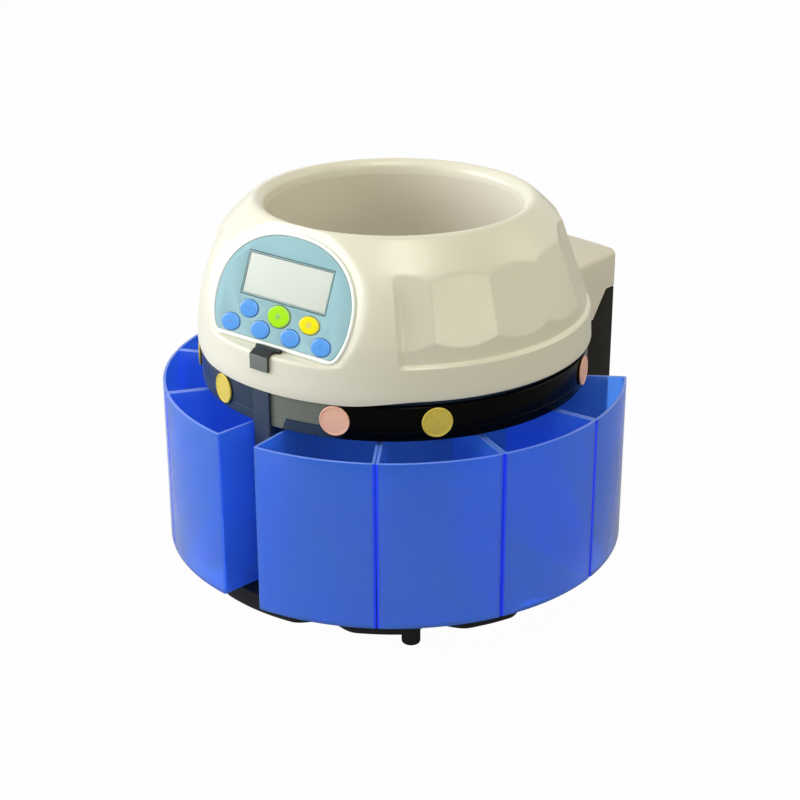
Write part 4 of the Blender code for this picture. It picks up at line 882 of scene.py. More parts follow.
def bend_column(azimuth, height):
    """Draws the columns of points together beside the recess's ends and beside each facet's edge."""
    away = abs(azimuth)
    column = round(away)
    if abs(away - column) > 0.01:
        return azimuth
    start = recess_start(height)
    moved = {35: 35.4, 36: start - 2.0, 37: start - 1.1, 38: start - 0.4, 39: start, 40: start + 0.3,
             41: start + 0.75, 42: start + 1.4, 43: start + 2.2, 44: start + 3.1, 147: 148.0, 148: 148.9,
             149: 149.4, 150: 149.9, 151: 150.5, 152: 151.4}.get(column)
    if moved is None:
        edge = FACET_START + FACET_WIDTH * (round((away - FACET_START) / FACET_WIDTH - 0.5) + 0.5)
        off = column - edge
        moved = away if not 46 < away < 147 or abs(off) not in (1, 2) else edge + math.copysign(
            (0.45, 1.4)[int(abs(off)) - 1], off)
    return math.copysign(moved, azimuth)


def bend_row(height, away, radius_at):
    """Carries the rows of points to the creases below and above the facets."""
    if not 36 < away < 152 or not 208.4 < height < 272:
        return height
    low, high = cove_top(away), facet_top(away, radius_at)
    stops = ((208.4, 208.4), (COVE_ROW, low), (FACET_ROW, high), (272, 272))
    share = ease((away - 37) / 2) * (1 - ease((away - 149) / 2))
    for (a0, b0), (a1, b1) in zip(stops, stops[1:]):
        if a0 <= height <= a1:
            return height + (b0 + (b1 - b0) * (height - a0) / (a1 - a0) - height) * share
    return height


def make_dome(finish):
    """The cream housing: a turned shell, pressed in where the recesses and the panel seat are."""
    rows, radius_at = dome_rows()
    dome = turned("cream_dome", [(row[0], row[1]) for row in rows], 360)
    for point in dome.data.vertices:
        x, y, z = (c / MM for c in point.co)
        radius = math.hypot(x, y)
        row = min(rows, key=lambda r: (r[0] - radius) ** 2 + (r[1] - z) ** 2)
        azimuth = bend_column(math.degrees(math.atan2(x, -y)), z)
        lift = 0.0
        if row[4] == "outer" and row[3] == 1:
            z = bend_row(z, abs(azimuth), radius_at)
            radius = radius_at(z)
        if row[4] == "edge":
            lift = front_edge(azimuth) - SIDE_EDGE
        elif row[4] == "outer" or row[4] == "ledge":
            radius = dome_surface(radius, z, azimuth, row[2], row[3])
            if row[4] == "ledge" and abs(azimuth) < 30:
                lift = LEDGE - z
        elif row[4] == "inner":
            outer_height = z + (3.0 if 198 < z < 206.5 else 0.0)
            skin = dome_surface(radius_at(outer_height), outer_height, azimuth, None, 1 if z > 206 else 0)
            radius = min(radius, skin - 2.6)
        elif abs(azimuth) < 60:
            radius = min(radius, panel_radius(z, azimuth, SEAT_DEPTH + (2.6 if z < 277.7 else 0)))
        new_x, new_y = polar(radius, azimuth)
        point.co = (new_x * MM, new_y * MM, (z + lift) * MM)
    dome.data.update()
    opening = plate("panel_seat_opening", panel_outline(-0.4), -9, 3, PANEL)
    cut(dome, opening, solver="MANIFOLD")
    smooth(dome, 40)
    return hand_over(dome, finish["housing"], "lid", "housing", "upper_housing")


# Panel, display and keys

PANEL = Matrix.Translation((0, -PANEL_REACH * MM, PANEL_DATUM * MM)) @ Matrix.Rotation(
    math.pi / 2 - PANEL_LEAN, 4, "X"
)


def panel_outline(grow, count=96, corner=3.0):
    """A flattened circle cut off by a chord at its foot, with rounded lower corners."""
    half_width, half_height, centre, chord = 58.0 + grow, 46.2 + grow, 33.0, 8.3 - grow
    power = 2 / 2.2
    start = -math.asin(((centre - chord) / half_height) ** (1 / power))
    points = []
    for i in range(count + 1):
        turn = start + (math.pi - 2 * start) * i / count
        across, up = math.cos(turn), math.sin(turn)
        x = half_width * math.copysign(abs(across) ** power, across)
        y = centre + half_height * math.copysign(abs(up) ** power, up)
        points.append((x, y))
    radius = corner + grow
    side = next(i for i, p in enumerate(points) if math.dist(p, points[0]) > radius)
    tip, near, flat = Vector(points[0]), Vector(points[side]), Vector((points[0][0] - radius, points[0][1]))
    bend = []
    for i in range(7):
        t = i / 6
        spot = flat * (1 - t) ** 2 + tip * 2 * t * (1 - t) + near * t**2
        bend.append((spot.x, spot.y))
    return bend + points[side + 1:-side - 1] + [(-x, y) for x, y in reversed(bend)]


def oval(centre, half_width, half_height, count=48):
    turns = [2 * math.pi * i / count for i in range(count)]
    return [(centre[0] + half_width * math.cos(t), centre[1] + half_height * math.sin(t)) for t in turns]


def rounded_box(half_x, low, high, radius, count=5):
    """A rectangle from low to high with rounded corners."""
    points = []
    corners = ((half_x, high, 0), (-half_x, high, 90), (-half_x, low, 180), (half_x, low, 270))
    for x, y, start in corners:
        cx = x - math.copysign(radius, x)
        cy = y - radius if y == high else y + radius
        for i in range(count + 1):
            turn = math.radians(start + 90 * i / count)
            points.append((cx + radius * math.cos(turn), cy + radius * math.sin(turn)))
    return points


BLUE_KEY, GREEN_KEY, YELLOW_KEY = (8.1, 5.8), (10.0, 7.4), (8.8, 5.9)
KEYS = (
    ("key_blue_1", "blue", (-39.75, 15.0), BLUE_KEY, "plus"),
    ("key_blue_2", "blue", (-13.25, 15.0), BLUE_KEY, "1"),
    ("key_blue_3", "blue", (13.25, 15.0), BLUE_KEY, "minus"),
    ("key_blue_4", "blue", (39.75, 15.0), BLUE_KEY, "2"),
    ("key_blue_5", "blue", (-26.5, 26.6), BLUE_KEY, "3"),
    ("key_green", "green", (0.0, 26.6), GREEN_KEY, "start"),
    ("key_yellow", "yellow", (26.5, 26.6), YELLOW_KEY, "stop"),
)


def make_panel(finish):
    """The teal sheet in its pale rim, and the seat behind it, with an opening for each key."""
    openings = [oval(place, half[0] + GAP, half[1] + GAP) for _, _, place, half, _ in KEYS]
    openings.append(rounded_box(37.6, 34.8, 64.7, 0.5))

    def pierced(name, outline, low, high):
        piece = plate(name, outline, low, high, PANEL)
        holes = [plate(f"{name}_hole_{i}", hole, low - 2, high + 2, PANEL) for i, hole in enumerate(openings)]
        return cut(piece, *holes)

    sheet = pierced("teal_panel_sheet", panel_outline(-0.3), -0.8, 0.0)
    smooth(soften(sheet, 0.15, 2), 30)
    hand_over(sheet, finish["panel"], "lid", "panel", "control_panel")
    seat = pierced("panel_seat_plate", panel_outline(-0.7), -3.9, -1.15)
    smooth(seat, 30)
    hand_over(seat, finish["housing"], "lid", "housing")
    rim = plate("panel_rim_bead", panel_outline(2.8), -2.2, 0.4, PANEL)
    cut(rim, plate("rim_hole", panel_outline(0.0), -4, 2, PANEL))
    soften(rim, 0.9, 4, 40)
    smooth(rim, 50)
    hand_over(rim, finish["rim"], "lid", "housing")


def make_display(finish):
    """A clear window in a dark frame, over the pale screen."""
    edge = plate("display_frame", rounded_box(37.3, 35.1, 64.4, 0.5), -2.0, -0.05, PANEL)
    cut(edge, plate("frame_hole", rounded_box(35.9, 36.5, 63.0, 0.4), -4, 2, PANEL))
    smooth(soften(edge, 0.2, 2), 30)
    hand_over(edge, finish["frame_line"], "lid", "display", "display_window")
    glass = plate("display_screen", rounded_box(35.85, 36.55, 62.95, 0.35), -1.6, -0.35, PANEL)
    smooth(soften(glass, 0.1, 2), 30)
    hand_over(glass, finish["screen"], "lid", "display")
    module = plate("display_module_body", rounded_box(40.3, 32.1, 67.4, 1.0), -12.2, -6.2, PANEL)
    smooth(soften(module, 0.4, 2), 30)
    hand_over(module, finish["frame_line"], "lid", "display", "display_module")


def key_mark(name, kind):
    """A raised generic sign for a key, around its middle."""
    if kind == "plus":
        mark = block(name, (3.6, 0.8, 0.1), (0, 0, 0))
        return fuse(mark, block(name + "_b", (0.8, 3.6, 0.1), (0, 0, 0)))
    if kind == "minus":
        return block(name, (3.4, 0.8, 0.1), (0, 0, 0))
    if kind == "start":
        return plate(name, [(-2.0, -2.6), (2.8, 0.0), (-2.0, 2.6)], -0.05, 0.05)
    if kind == "stop":
        return plate(name, rounded_box(1.9, -1.9, 1.9, 0.4, 3), -0.05, 0.05)
    return number(name, kind, 4.2, 0.1)


def number(name, text, size, thickness):
    """A plain numeral as a mesh, centred, facing +Z."""
    clear_selection()
    bpy.ops.object.text_add()
    piece = bpy.context.active_object
    piece.data.body = text
    piece.data.size = size * MM
    piece.data.extrude = thickness / 2 * MM
    piece.data.resolution_u = 4
    piece.data.align_x = "CENTER"
    piece.data.align_y = "CENTER"
    bpy.ops.object.convert(target="MESH")
    piece = newest(name)
    return tidy_mesh(piece)


def make_keys(finish):
    for name, kind, place, half, sign in KEYS:
        spot = PANEL @ Matrix.Translation((place[0] * MM, place[1] * MM, 0))
        clear_selection()
        bpy.ops.mesh.primitive_circle_add(vertices=64, fill_type="NGON", radius=1)
        cap = newest(name + "_cap")
        cap.data.transform(Matrix.Diagonal((half[0] * MM, half[1] * MM, 1, 1)))
        cap.data.transform(Matrix.Translation((0, 0, -3.3 * MM)))
        bpy.ops.object.mode_set(mode="EDIT")
        bpy.ops.mesh.select_all(action="SELECT")
        bpy.ops.mesh.extrude_region_move(TRANSFORM_OT_translate={"value": (0, 0, 3.75 * MM)})
        for inset, rise in ((0.25, 0.22), (0.35, 0.08), (0.55, 0.02), (0.5, 0.06), (1.2, 0.08), (1.4, 0.04)):
            bpy.ops.mesh.inset(thickness=inset * MM, depth=rise * MM)
        tidy_mesh(cap)
        cap.data.materials.append(finish[kind + "_key"])
        inner = (half[0] - 1.15) / half[0]

        def in_edge(face, half=half, inner=inner):
            reach = math.hypot(face.center.x / (half[0] * MM), face.center.y / (half[1] * MM))
            return reach > inner

        coat_faces(cap, finish[kind + "_ring"], in_edge)
        smooth(cap, 60)
        top = max(v.co.z for v in cap.data.vertices)
        cap.data.transform(spot)
        hand_over(cap, finish[kind + "_key"], name, kind + "_key", name)
        mark = key_mark(name + "_sign", sign)
        mark.data.transform(spot @ Matrix.Translation((0, 0, top - 0.02 * MM)))
        hand_over(mark, finish[kind + "_mark"], name, kind + "_key")


def make_latch(finish):
    """The black clip: a flange over the ledge, a face down the front and an arm inside."""
    side = [(-140.3, 193.5), (-138.7, 193.5), (-138.7, 203.2), (-136.4, 204.8), (-130.0, 204.8),
            (-130.0, 206.4), (-135.6, 206.4), (-140.3, 203.8)]
    clip = plate("latch_clip", side, -8, 8, TO_SIDE)
    barrel = rod("latch_pin", 1.6, (-10.5, LATCH_PIN_Y, LATCH_PIN_Z), (10.5, LATCH_PIN_Y, LATCH_PIN_Z), 32)
    arm_side = [(-130.9, 205.6), (-130.9, 183.0), (-129.1, 183.0), (-127.3, 185.5), (-129.1, 185.5),
                (-129.1, 205.6)]
    arm = plate("latch_arm_inside", arm_side, -5, 5, TO_SIDE)
    soften(clip, 0.35, 3, 40)
    fuse(clip, barrel, arm)
    smooth(clip, 35)
    clip.data.materials.clear()
    clip.data.materials.append(finish["latch_black"])
    # The front-facing faces take the lit copy, painted light from the front.
    coat_faces(clip, finish["latch_lit_face"], lambda face: face.normal.y < -0.8 and face.center.y < -140 * MM)
    hand_over(clip, finish["latch_black"], "latch", "black", "front_latch")


# Trays

def wedge(inner, outer, half_angle, inset, corner, steps=24):
    """A tray's plan, facing the front, with rounded outer corners."""
    points = []
    spread = half_angle - math.degrees(math.asin(inset / outer))
    tip = math.degrees(corner / outer)
    for sign in (1, -1):
        arc = [polar(outer, sign * (spread - tip) * (1 - i / steps)) for i in range(steps + 1)]
        low_spread = half_angle - math.degrees(math.asin(inset / (outer - corner)))
        start = Vector(polar(outer - corner, sign * low_spread))
        peak = Vector(polar(outer, sign * spread))
        end = Vector(arc[0])
        bend = []
        for i in range(5):
            t = i / 5
            spot = start * (1 - t) ** 2 + peak * 2 * t * (1 - t) + end * t**2
            bend.append((spot.x, spot.y))
        half = bend + arc
        points += half if sign > 0 else list(reversed(half))[1:]
    near = half_angle - math.degrees(math.asin(inset / inner))
    points += [polar(inner, -near + 2 * near * i / 10) for i in range(11)]
    return points


def make_trays(finish):
    """Eight open wedge boxes of see-through blue plastic."""
    half = TRAY_PITCH / 2
    tray = plate("tray_pattern", wedge(TRAY_INNER_RADIUS, TRAY_RADIUS, half, GAP, 1.6), TRAY_BOTTOM, TRAY_TOP)
    hollow = plate(
        "tray_hollow",
        wedge(TRAY_INNER_RADIUS + TRAY_WALL, TRAY_RADIUS - TRAY_WALL, half, GAP + TRAY_WALL, 0.8),
        TRAY_BOTTOM + 2,
        TRAY_TOP + 5,
    )
    cut(tray, hollow)
    soften(tray, 0.3, 2, 50)
    smooth(tray, 30)
    tray.data.materials.append(finish["tray"])
    top = (TRAY_TOP - 0.35) * MM
    # The top rim faces take the painted highlight.
    coat_faces(tray, finish["tray_rim_highlight"], lambda face: face.center.z > top)
    corner = (TRAY_RADIUS - 1.75) * MM
    turn = math.radians(half) - 2.2 / TRAY_RADIUS

    for sign in (1, -1):

        def at_corner(face, sign=sign):
            spot = face.center
            return (spot.z <= top and math.hypot(spot.x, spot.y) > corner
                    and sign * math.atan2(spot.x, -spot.y) > turn)

        # The outer corner faces take the painted glow.
        coat_faces(tray, finish["tray_glowing_corner"], at_corner)
    for side, index in tray_places():
        node = f"tray_{side_name(side)}_{index + 1}"
        piece = copy_of(tray, node + "_box", turn_to(tray_azimuth(side, index)))
        if index == 0:
            # The front trays' corners beside the front gap keep the plain blue, without the painted glow.
            piece.data.materials[3 if side > 0 else 2] = finish["tray"]
        hand_over(piece, finish["tray"], node, "tray", node)
    bpy.data.objects.remove(tray)


# Base, feet, pillar, ring and drum

def base_plan():
    """A disc with a finger notch below each tray, and a square end below the rear post."""
    points = []
    corner = 180 - math.degrees(math.asin(BLOCK_HALF / BASE_RADIUS))
    steps = 240
    for i in range(-steps, steps + 1):
        azimuth = corner * i / steps
        depth = 0.0
        for side, index in tray_places():
            away = abs(azimuth - tray_azimuth(side, index)) / 9
            if away < 1:
                depth = 10 * (1 + math.cos(math.pi * away)) / 2
        points.append(polar(BASE_RADIUS - depth, azimuth))
    right = block_corner(BLOCK_HALF, BLOCK_BACK, 5)
    return points + right + [(-x, y) for x, y in reversed(right)]


def block_corner(half_width, back, radius):
    turns = [math.pi / 2 * i / 8 for i in range(9)]
    x, y = half_width - radius, back - radius
    return [(x + radius * math.cos(t), y + radius * math.sin(t)) for t in turns]


def make_base(finish):
    base = plate("base_casting", base_plan(), BASE_BOTTOM, BASE_TOP)
    pocket = rod("base_hollow", 130, (0, 0, 12), (0, 0, 29.7), 192)
    cut(base, pocket)
    feet = []
    for end, azimuth in (("front", 44), ("rear", 136)):
        for side in (1, -1):
            x, y = polar(125, side * azimuth)
            feet.append((f"foot_{end}_{side_name(side)}", x, y))
    for name, x, y in feet:
        fuse(base, rod(name + "_boss", 9, (x, y, BASE_BOTTOM), (x, y, 31), 48))
    soften(base, 0.5, 2, 40)
    smooth(base, 35)
    hand_over(base, finish["base_black"], "base", "black", "base_plate")
    profile = [(0, 19.7), (5.9, 19.7), (6.4, 19.3), (6.5, 18.8), (6.5, 6.6), (6.1, 6.2), (6.1, 5.6),
               (6.5, 5.2), (6.5, 1.2), (6.2, 0.5), (5.6, 0.0), (3.4, 0.0), (3.0, 0.4), (0, 0.4)]
    foot = turned("foot_pattern", profile, 48)
    smooth(foot, 35)
    for name, x, y in feet:
        piece = copy_of(foot, name + "_rubber", Matrix.Translation((x * MM, y * MM, 0)))
        hand_over(piece, finish["rubber"], "base", "rubber", name)
    bpy.data.objects.remove(foot)


def make_drum(finish):
    profile = [(90.2, 154.7), (90.5, 154.3), (90.5, 33.0), (85.5, 33.0), (85.5, 145.7), (87.5, 145.7),
               (87.5, 154.7)]
    drum = turned("drum_wall", profile, 192)
    smooth(drum, 30)
    hand_over(drum, finish["slate"], "base", "slate", "inner_drum")


def make_pillar(finish):
    """The post between the two front trays, which laps over the ring."""
    front = math.degrees(math.asin(7 / 139.3))
    back = math.degrees(math.asin(7 / 90.8))
    outline = [polar(139.3, front - front * i / 4) for i in range(9)]
    outline += [polar(90.8, -back + back * i / 2) for i in range(5)]
    pillar = plate("front_pillar_post", outline, TRAY_BOTTOM, RING_TOP)
    cut(pillar, rod("ring_room", RING_RADIUS + GAP, (0, 0, RING_BOTTOM - GAP), (0, 0, 190), 192))
    soften(pillar, 0.35, 2, 50)
    smooth(pillar, 35)
    hand_over(pillar, finish["slate"], "base", "slate", "front_pillar")


def make_ring(finish):
    """The glossy band with a shallow step near its foot, the inner wall and the ribs between them."""
    band = [(136.6, RING_TOP), (137.0, 178.1), (137.0, 162.4), (136.75, 162.1), (136.75, 161.7),
            (137.0, 161.4), (137.0, 155.5), (136.6, 155.0), (134.0, 155.0), (134.0, RING_TOP)]
    ring = turned("chute_band", band, 240)
    wall = [(89.0, RING_TOP), (89.0, 155.0), (86.0, 155.0), (86.0, RING_TOP)]
    gather(ring, turned("chute_core", wall, 192))
    for side in (1, -1):
        for index in range(5):
            turn = turn_to(side * (FRONT_GAP_HALF + TRAY_PITCH * index))
            name = f"chute_partition_{side_name(side)}_{index}"
            gather(ring, block(name, (2, 45.6, 22.5), (0, -111.5, 166.75), turn))
    smooth(ring, 35)
    hand_over(ring, finish["ring"], "base", "black", "chute_ring")


SLOT_WIDTHS = (17.5, 19.0, 20.0, 21.0, 22.0, 23.5, 24.5, 26.5)


def make_sorting_deck(finish):
    profile = [(133.1, 190.8), (133.5, 190.4), (133.5, 178.8), (7.8, 178.8), (7.8, 186.8), (128.0, 186.8),
               (128.0, 190.4), (128.4, 190.8)]
    deck = turned("deck_casting", profile, 192)
    places = sorted(tray_places(), key=lambda where: -tray_azimuth(*where))
    for width, where in zip(SLOT_WIDTHS, places):
        hole = plate("slot", rounded_box(15, -126.5, -126.5 + width, 1.2), 170, 187.5)
        hole.data.transform(turn_to(tray_azimuth(*where)))
        cut(deck, hole)
    notch = block("notch", (18, 12, 30), (0, -133, 186))
    cut(deck, notch)
    soften(deck, 0.3, 2, 50)
    smooth(deck, 35)
    hand_over(deck, finish["slate"], "base", "slate", "sorting_deck")


BADGES = {
    (1, 0): ("copper", "5"),
    (1, 1): ("gold", "10"),
    (1, 3): ("copper", "2"),
    (-1, 0): ("gold", "20"),
    (-1, 1): ("gold", "50"),
    (-1, 2): ("copper", "1"),
    (-1, 3): ("gold", "25"),
}


def make_badges(finish):
    """Coin discs with a raised rim, a beaded ring and a plain numeral."""
    slots = {where: "gold" for where in BADGES}
    slots[(1, 0)] = slots[(1, 3)] = "copper"
    for where, (tone, text) in BADGES.items():
        side, index = where
        node = f"coin_badge_{side_name(side)}_{index + 1}"
        profile = [(0, 0.0), (9.8, 0.0), (10.2, 0.3), (10.2, 1.1), (9.9, 1.4), (9.3, 1.4), (9.0, 1.05),
                   (0, 1.05)]
        disc = turned(node + "_disc", list(reversed(profile)), 72)
        beads = []
        for i in range(36):
            x, y = 8.3 * math.cos(math.tau * i / 36), 8.3 * math.sin(math.tau * i / 36)
            clear_selection()
            bpy.ops.mesh.primitive_ico_sphere_add(subdivisions=1, radius=0.28 * MM)
            bead = newest("bead")
            bead.data.transform(Matrix.Translation((x * MM, y * MM, 1.05 * MM)))
            beads.append(bead)
        gather(disc, *beads, number("numeral", text, 8.6, 0.5))
        face = Matrix.Rotation(math.pi / 2, 4, "X")
        azimuth = tray_azimuth(side, index) + (2.7 if index == 0 else 1.0)
        x, y = polar(RING_RADIUS + GAP, azimuth)
        disc.data.transform(Matrix.Translation((x * MM, y * MM, 168 * MM)) @ turn_to(azimuth) @ face)
        smooth(disc, 30)
        hand_over(disc, finish[tone], "base", slots[where], node)


# Hopper, feed disc and drive

def make_hopper(finish):
    profile = [(91.0, 271.1), (91.0, 270.7), (86.0, 193.8), (85.7, 193.5), (84.3, 193.5), (84.0, 193.8),
               (89.1, 270.8), (89.35, 271.1)]
    liner = turned("hopper_funnel", profile, 240)
    smooth(liner, 35)
    hand_over(liner, finish["hopper"], "lid", "hopper", "hopper_liner")


def make_feed_disc(finish):
    profile = [(0, 192.5), (85.4, 192.5), (86.0, 192.0), (86.0, 188.9), (85.6, 188.5), (0, 188.5)]
    disc = turned("feed_disc_plate", profile, 192)
    for i in range(8):
        x, y = polar(66, 45 * i)
        cut(disc, rod("pocket", 14, (x, y, 180), (x, y, 200), 72))
    fuse(disc, rod("disc_boss", 12, (0, 0, 190), (0, 0, 195.5), 72))
    cut(disc, rod("disc_bore", 4.3, (0, 0, 170), (0, 0, 210), 48))
    soften(disc, 0.35, 2, 50)
    smooth(disc, 35)
    hand_over(disc, finish["disc_steel"], "disc", "steel", "feed_disc")
    cap = [(0, 200.8), (3.5, 200.7), (6.8, 200.2), (9.6, 199.2), (11.6, 197.9), (12.8, 196.4),
           (13.0, 195.8), (0, 195.8)]
    knob = turned("hub_cap_dome", cap, 96)
    smooth(knob, 35)
    hand_over(knob, finish["gloss_black"], "disc", "black", "hub_cap")


# Rear block

def block_plan(inset, front):
    right = [(BLOCK_HALF - inset, front)] + block_corner(BLOCK_HALF - inset, BLOCK_BACK - inset, 5 - inset / 2)
    return right + [(-x, y) for x, y in reversed(right)]


def knuckle_rods(name, start, radius, grow):
    """One row of hinge knuckles, on the left and on the right."""
    rods = []
    for side in (1, -1):
        ends = sorted((side * start, side * (start + 12)))
        first = (ends[0] - grow, HINGE_Y, HINGE_Z)
        last = (ends[1] + grow, HINGE_Y, HINGE_Z)
        rods.append(rod(f"{name}_{side_name(side)}", radius, first, last, 40))
    return rods


def pin_bores(name):
    ends = [((side * 26, HINGE_Y, HINGE_Z), (side * 59, HINGE_Y, HINGE_Z)) for side in (1, -1)]
    return [rod(f"{name}_{i}", 2.5, start, end, 32) for i, (start, end) in enumerate(ends)]


def make_post(finish):
    """The black post behind the drum, with the inlet, the mains switch and two screws in its back."""
    post = plate("rear_post_case", block_plan(0, 92.5), TRAY_BOTTOM, POST_TOP)
    room = plate("post_hollow", block_plan(3, 95.5), TRAY_BOTTOM - 5, POST_TOP - 3)
    ring_room = rod("post_ring_room", 139.2, (0, 0, RING_BOTTOM - GAP), (0, 0, 230), 240)
    step = [(80, 230), (80, 168.5), (131.9, 168.5), (148.3, 188.8), (148.3, 230)]
    cut(post, room, ring_room, plate("post_step_room", step, -100, 100, TO_SIDE))
    soften(post, 0.6, 2, 50)
    fuse(post, *knuckle_rods("post_hinge_eye", 30, 4.3, 0))
    cut(post, *knuckle_rods("post_eye_room", 42.5, 4.6, 0.25), *pin_bores("post_pin_bore"))
    for x, width, height in ((INLET_X, 28.2, 21.2), (SWITCH_X, 14.2, 21.0)):
        cut(post, block("back_hole", (width, 12, height), (x, 160, POWER_Z)))
    for side in (1, -1):
        x = SCREW_X * side
        cut(post, rod("screw_hole", 1.8, (x, 150, SCREW_Z), (x, 170, SCREW_Z), 24))
    smooth(post, 35)
    hand_over(post, finish["post_black"], "base", "black", "rear_post")
    make_inlet(finish)
    make_switch(finish)
    for side in (1, -1):
        make_screw(side, finish)


def make_cover(finish):
    """The light block behind the dome. It lifts with the lid."""
    outline = [(161, COVER_TOP), (95, COVER_TOP), (95, 170), (130.4, 170), (146.8, 190), (161, 190)]
    cover = plate("rear_cover_shell", outline, -BLOCK_HALF, BLOCK_HALF, TO_SIDE)
    pick(cover)
    bpy.ops.object.mode_set(mode="EDIT")
    for step in range(-7, 8):
        bpy.ops.mesh.select_all(action="SELECT")
        bpy.ops.mesh.bisect(plane_co=(step * 10 * MM, 0, 0), plane_no=(1, 0, 0))
    bpy.ops.mesh.select_all(action="DESELECT")
    bpy.ops.object.mode_set(mode="OBJECT")
    for edge in cover.data.edges:
        ends = [cover.data.vertices[i].co for i in edge.vertices]
        at_back = all(co.y > 160.9 * MM and co.z > 189.9 * MM for co in ends)
        on_top = all(co.z > 214.6 * MM for co in ends)
        at_side = all(abs(co.x) > 82.4 * MM for co in ends)
        at_rim = on_top and all(co.y > 160.9 * MM for co in ends)
        edge.select = (at_back or on_top) and (at_side or at_rim)
    bpy.ops.object.mode_set(mode="EDIT")
    bpy.ops.mesh.bevel(offset=4.5 * MM, segments=7, profile=0.5, affect="EDGES")
    bpy.ops.object.mode_set(mode="OBJECT")
    for point in cover.data.vertices:
        share = max(0.0, (point.co.z / MM - 200) / 14.7)
        point.co.z += share * (COVER_LIFT + COVER_CROWN * (1 - (point.co.x / MM / BLOCK_HALF) ** 2)) * MM
    inner = [(158.5, 212.2), (85, 212.2), (85, 160), (131.5, 160), (147.0, 180), (158.5, 180)]
    cut(cover, plate("cover_hollow", inner, -BLOCK_HALF + 2.5, BLOCK_HALF - 2.5, TO_SIDE))
    room = [(r + GAP, z) for r, z in curve_through(DOME_LINE, 6)]
    room = [(139.2, 160)] + room + [(0, 282), (0, 160)]
    cut(cover, turned("cover_dome_room", list(reversed(room)), 240))
    fuse(cover, *knuckle_rods("cover_hinge_eye", 42.5, 4.3, 0))
    cut(cover, *knuckle_rods("cover_eye_room", 30, 4.6, 0.25), *pin_bores("cover_pin_bore"))
    smooth(cover, 35)
    hand_over(cover, finish["cover"], "lid", "cover", "rear_cover")


def make_inlet(finish):
    """A three-blade power inlet with a chamfered mouth."""
    case = plate("inlet_flange", rounded_box(15.5, -12, 12, 2), 0, 2)
    body = plate("inlet_case", rounded_box(13.8, -10.3, 10.3, 1), -20, 0.6)
    fuse(case, body)
    mouth = [(-12, -8.5), (12, -8.5), (12, 4.5), (8, 8.5), (-8, 8.5), (-12, 4.5)]
    cut(case, plate("inlet_mouth", mouth, -13, 6))
    soften(case, 0.3, 2, 50)
    blades = []
    for i in (-1, 0, 1):
        lift = 2 if i == 0 else 0
        blade = block(f"inlet_blade_{i + 1}", (2, 4, 11.2), (i * 7, lift, -7.6))
        soften(blade, 0.3, 2)
        blades.append(blade)
    upright = Matrix.Rotation(-math.pi / 2, 4, "X") @ Matrix.Diagonal((1, -1, 1, 1))
    spot = Matrix.Translation((INLET_X * MM, BACK_FACE * MM, POWER_Z * MM)) @ upright
    smooth(case, 35)
    case.data.materials.append(finish["base_black"])
    for blade in blades:
        blade.data.materials.append(finish["steel"])
    gather(case, *blades)
    case.data.transform(spot)
    tidy_mesh(case)
    hand_over(case, finish["base_black"], "base", "black", "power_inlet")


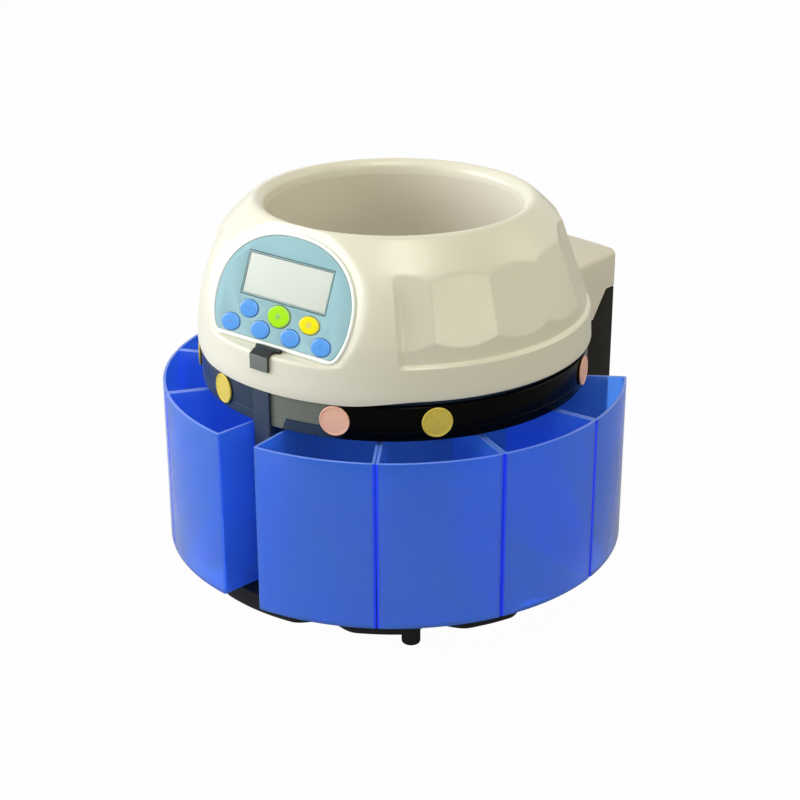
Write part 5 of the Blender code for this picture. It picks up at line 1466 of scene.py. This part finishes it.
def make_switch(finish):
    """The mains switch: a flanged frame, and a rocker that dips in the middle."""
    flange = plate("switch_bezel", rounded_box(7.5, -11.25, 11.25, 1), 0, 1.8)
    fuse(flange, plate("switch_case", rounded_box(6.8, -10.2, 10.2, 0.8), -13.2, 0.5))
    cut(flange, plate("switch_well", rounded_box(5.2, -8.8, 8.8, 0.3), -9, 6))
    soften(flange, 0.3, 2, 50)
    upright = Matrix.Rotation(-math.pi / 2, 4, "X") @ Matrix.Diagonal((1, -1, 1, 1))
    flange.data.transform(Matrix.Translation((SWITCH_X * MM, BACK_FACE * MM, POWER_Z * MM)) @ upright)
    tidy_mesh(flange)
    smooth(flange, 35)
    hand_over(flange, finish["base_black"], "base", "black", "switch_frame")
    dip = [(5.8 - 1.8 * (1 - (i / 8) ** 2), 7.5 * i / 8) for i in range(8, -9, -1)]
    side = dip + [(-4.5, -5.5), (-4.5, 5.5)]
    pivot = Matrix.Translation((SWITCH_X * MM, 159 * MM, POWER_Z * MM)) @ Matrix.Rotation(math.radians(-8), 4, "X")
    rocker = plate("switch_rocker_key", side, -4.9, 4.9, TO_SIDE)
    soften(rocker, 0.3, 2, 50)
    rocker.data.transform(pivot)
    smooth(rocker, 35)
    hand_over(rocker, finish["latch_black"], "rocker", "black", "switch_rocker")
    for name, height in (("I", 4.4), ("O", -4.4)):
        sign = number(f"switch_sign_{name}", name, 3.6, 0.1)
        lean = Matrix.Rotation(math.radians(90), 4, "X") @ Matrix.Rotation(math.pi, 4, "Y")
        reach = 4.0 + 1.8 * (height / 7.5) ** 2
        slope = math.atan(2 * 1.8 * height / 7.5**2)
        set_on = Matrix.Translation((0, (reach + 0.03) * MM, height * MM)) @ Matrix.Rotation(-slope, 4, "X")
        sign.data.transform(pivot @ set_on @ lean)
        hand_over(sign, finish["mark_white"], "rocker", "black")


def make_screw(side, finish):
    """A round-headed screw with a cross recess."""
    profile = [(0, 1.8), (1.6, 1.7), (2.5, 1.3), (3.0, 0.6), (3.0, 0.0), (1.5, 0.0), (1.5, -2.6),
               (0, -2.6)]
    screw = turned(f"rear_screw_{side_name(side)}_head", profile, 48)
    cut(screw, block("cross_a", (3.4, 0.7, 1.6), (0, 0, 1.7)))
    cut(screw, block("cross_b", (0.7, 3.4, 1.6), (0, 0, 1.7)))
    face = Matrix.Rotation(-math.pi / 2, 4, "X")
    spot = Matrix.Translation(Vector((SCREW_X * side, BACK_FACE, SCREW_Z)) * MM)
    screw.data.transform(spot @ face)
    smooth(screw, 35)
    hand_over(screw, finish["steel"], "base", "steel", f"rear_screw_{side_name(side)}")


def dress_solids(finish):
    """The solids that already have their real shape take a better finish."""
    wear = {
        "gear_deck": "slate",
        "hinge_pin_left": "steel",
        "hinge_pin_right": "steel",
        "power_supply": "steel",
        "motor": "steel",
        "idler_pin": "steel",
        "main_board": "board",
        "keypad_board": "board",
        "coin_sensor": "base_black",
        "shaft_bush": "bronze",
        "motor_pinion": "bronze",
        "drive_shaft": "steel",
        "main_gear": "gear",
        "idler_gear": "gear",
    }
    for node, tone in wear.items():
        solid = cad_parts[node]
        solid.data.materials.clear()
        solid.data.materials.append(finish[tone])
        smooth(solid, 30)


def build():
    set_camera()
    set_light()
    set_stage()
    finish = make_materials()
    make_dome(finish)
    make_panel(finish)
    make_display(finish)
    make_keys(finish)
    make_latch(finish)
    make_trays(finish)
    make_base(finish)
    make_drum(finish)
    make_pillar(finish)
    make_ring(finish)
    make_sorting_deck(finish)
    make_badges(finish)
    make_hopper(finish)
    make_feed_disc(finish)
    make_post(finish)
    make_cover(finish)
    dress_solids(finish)


build()
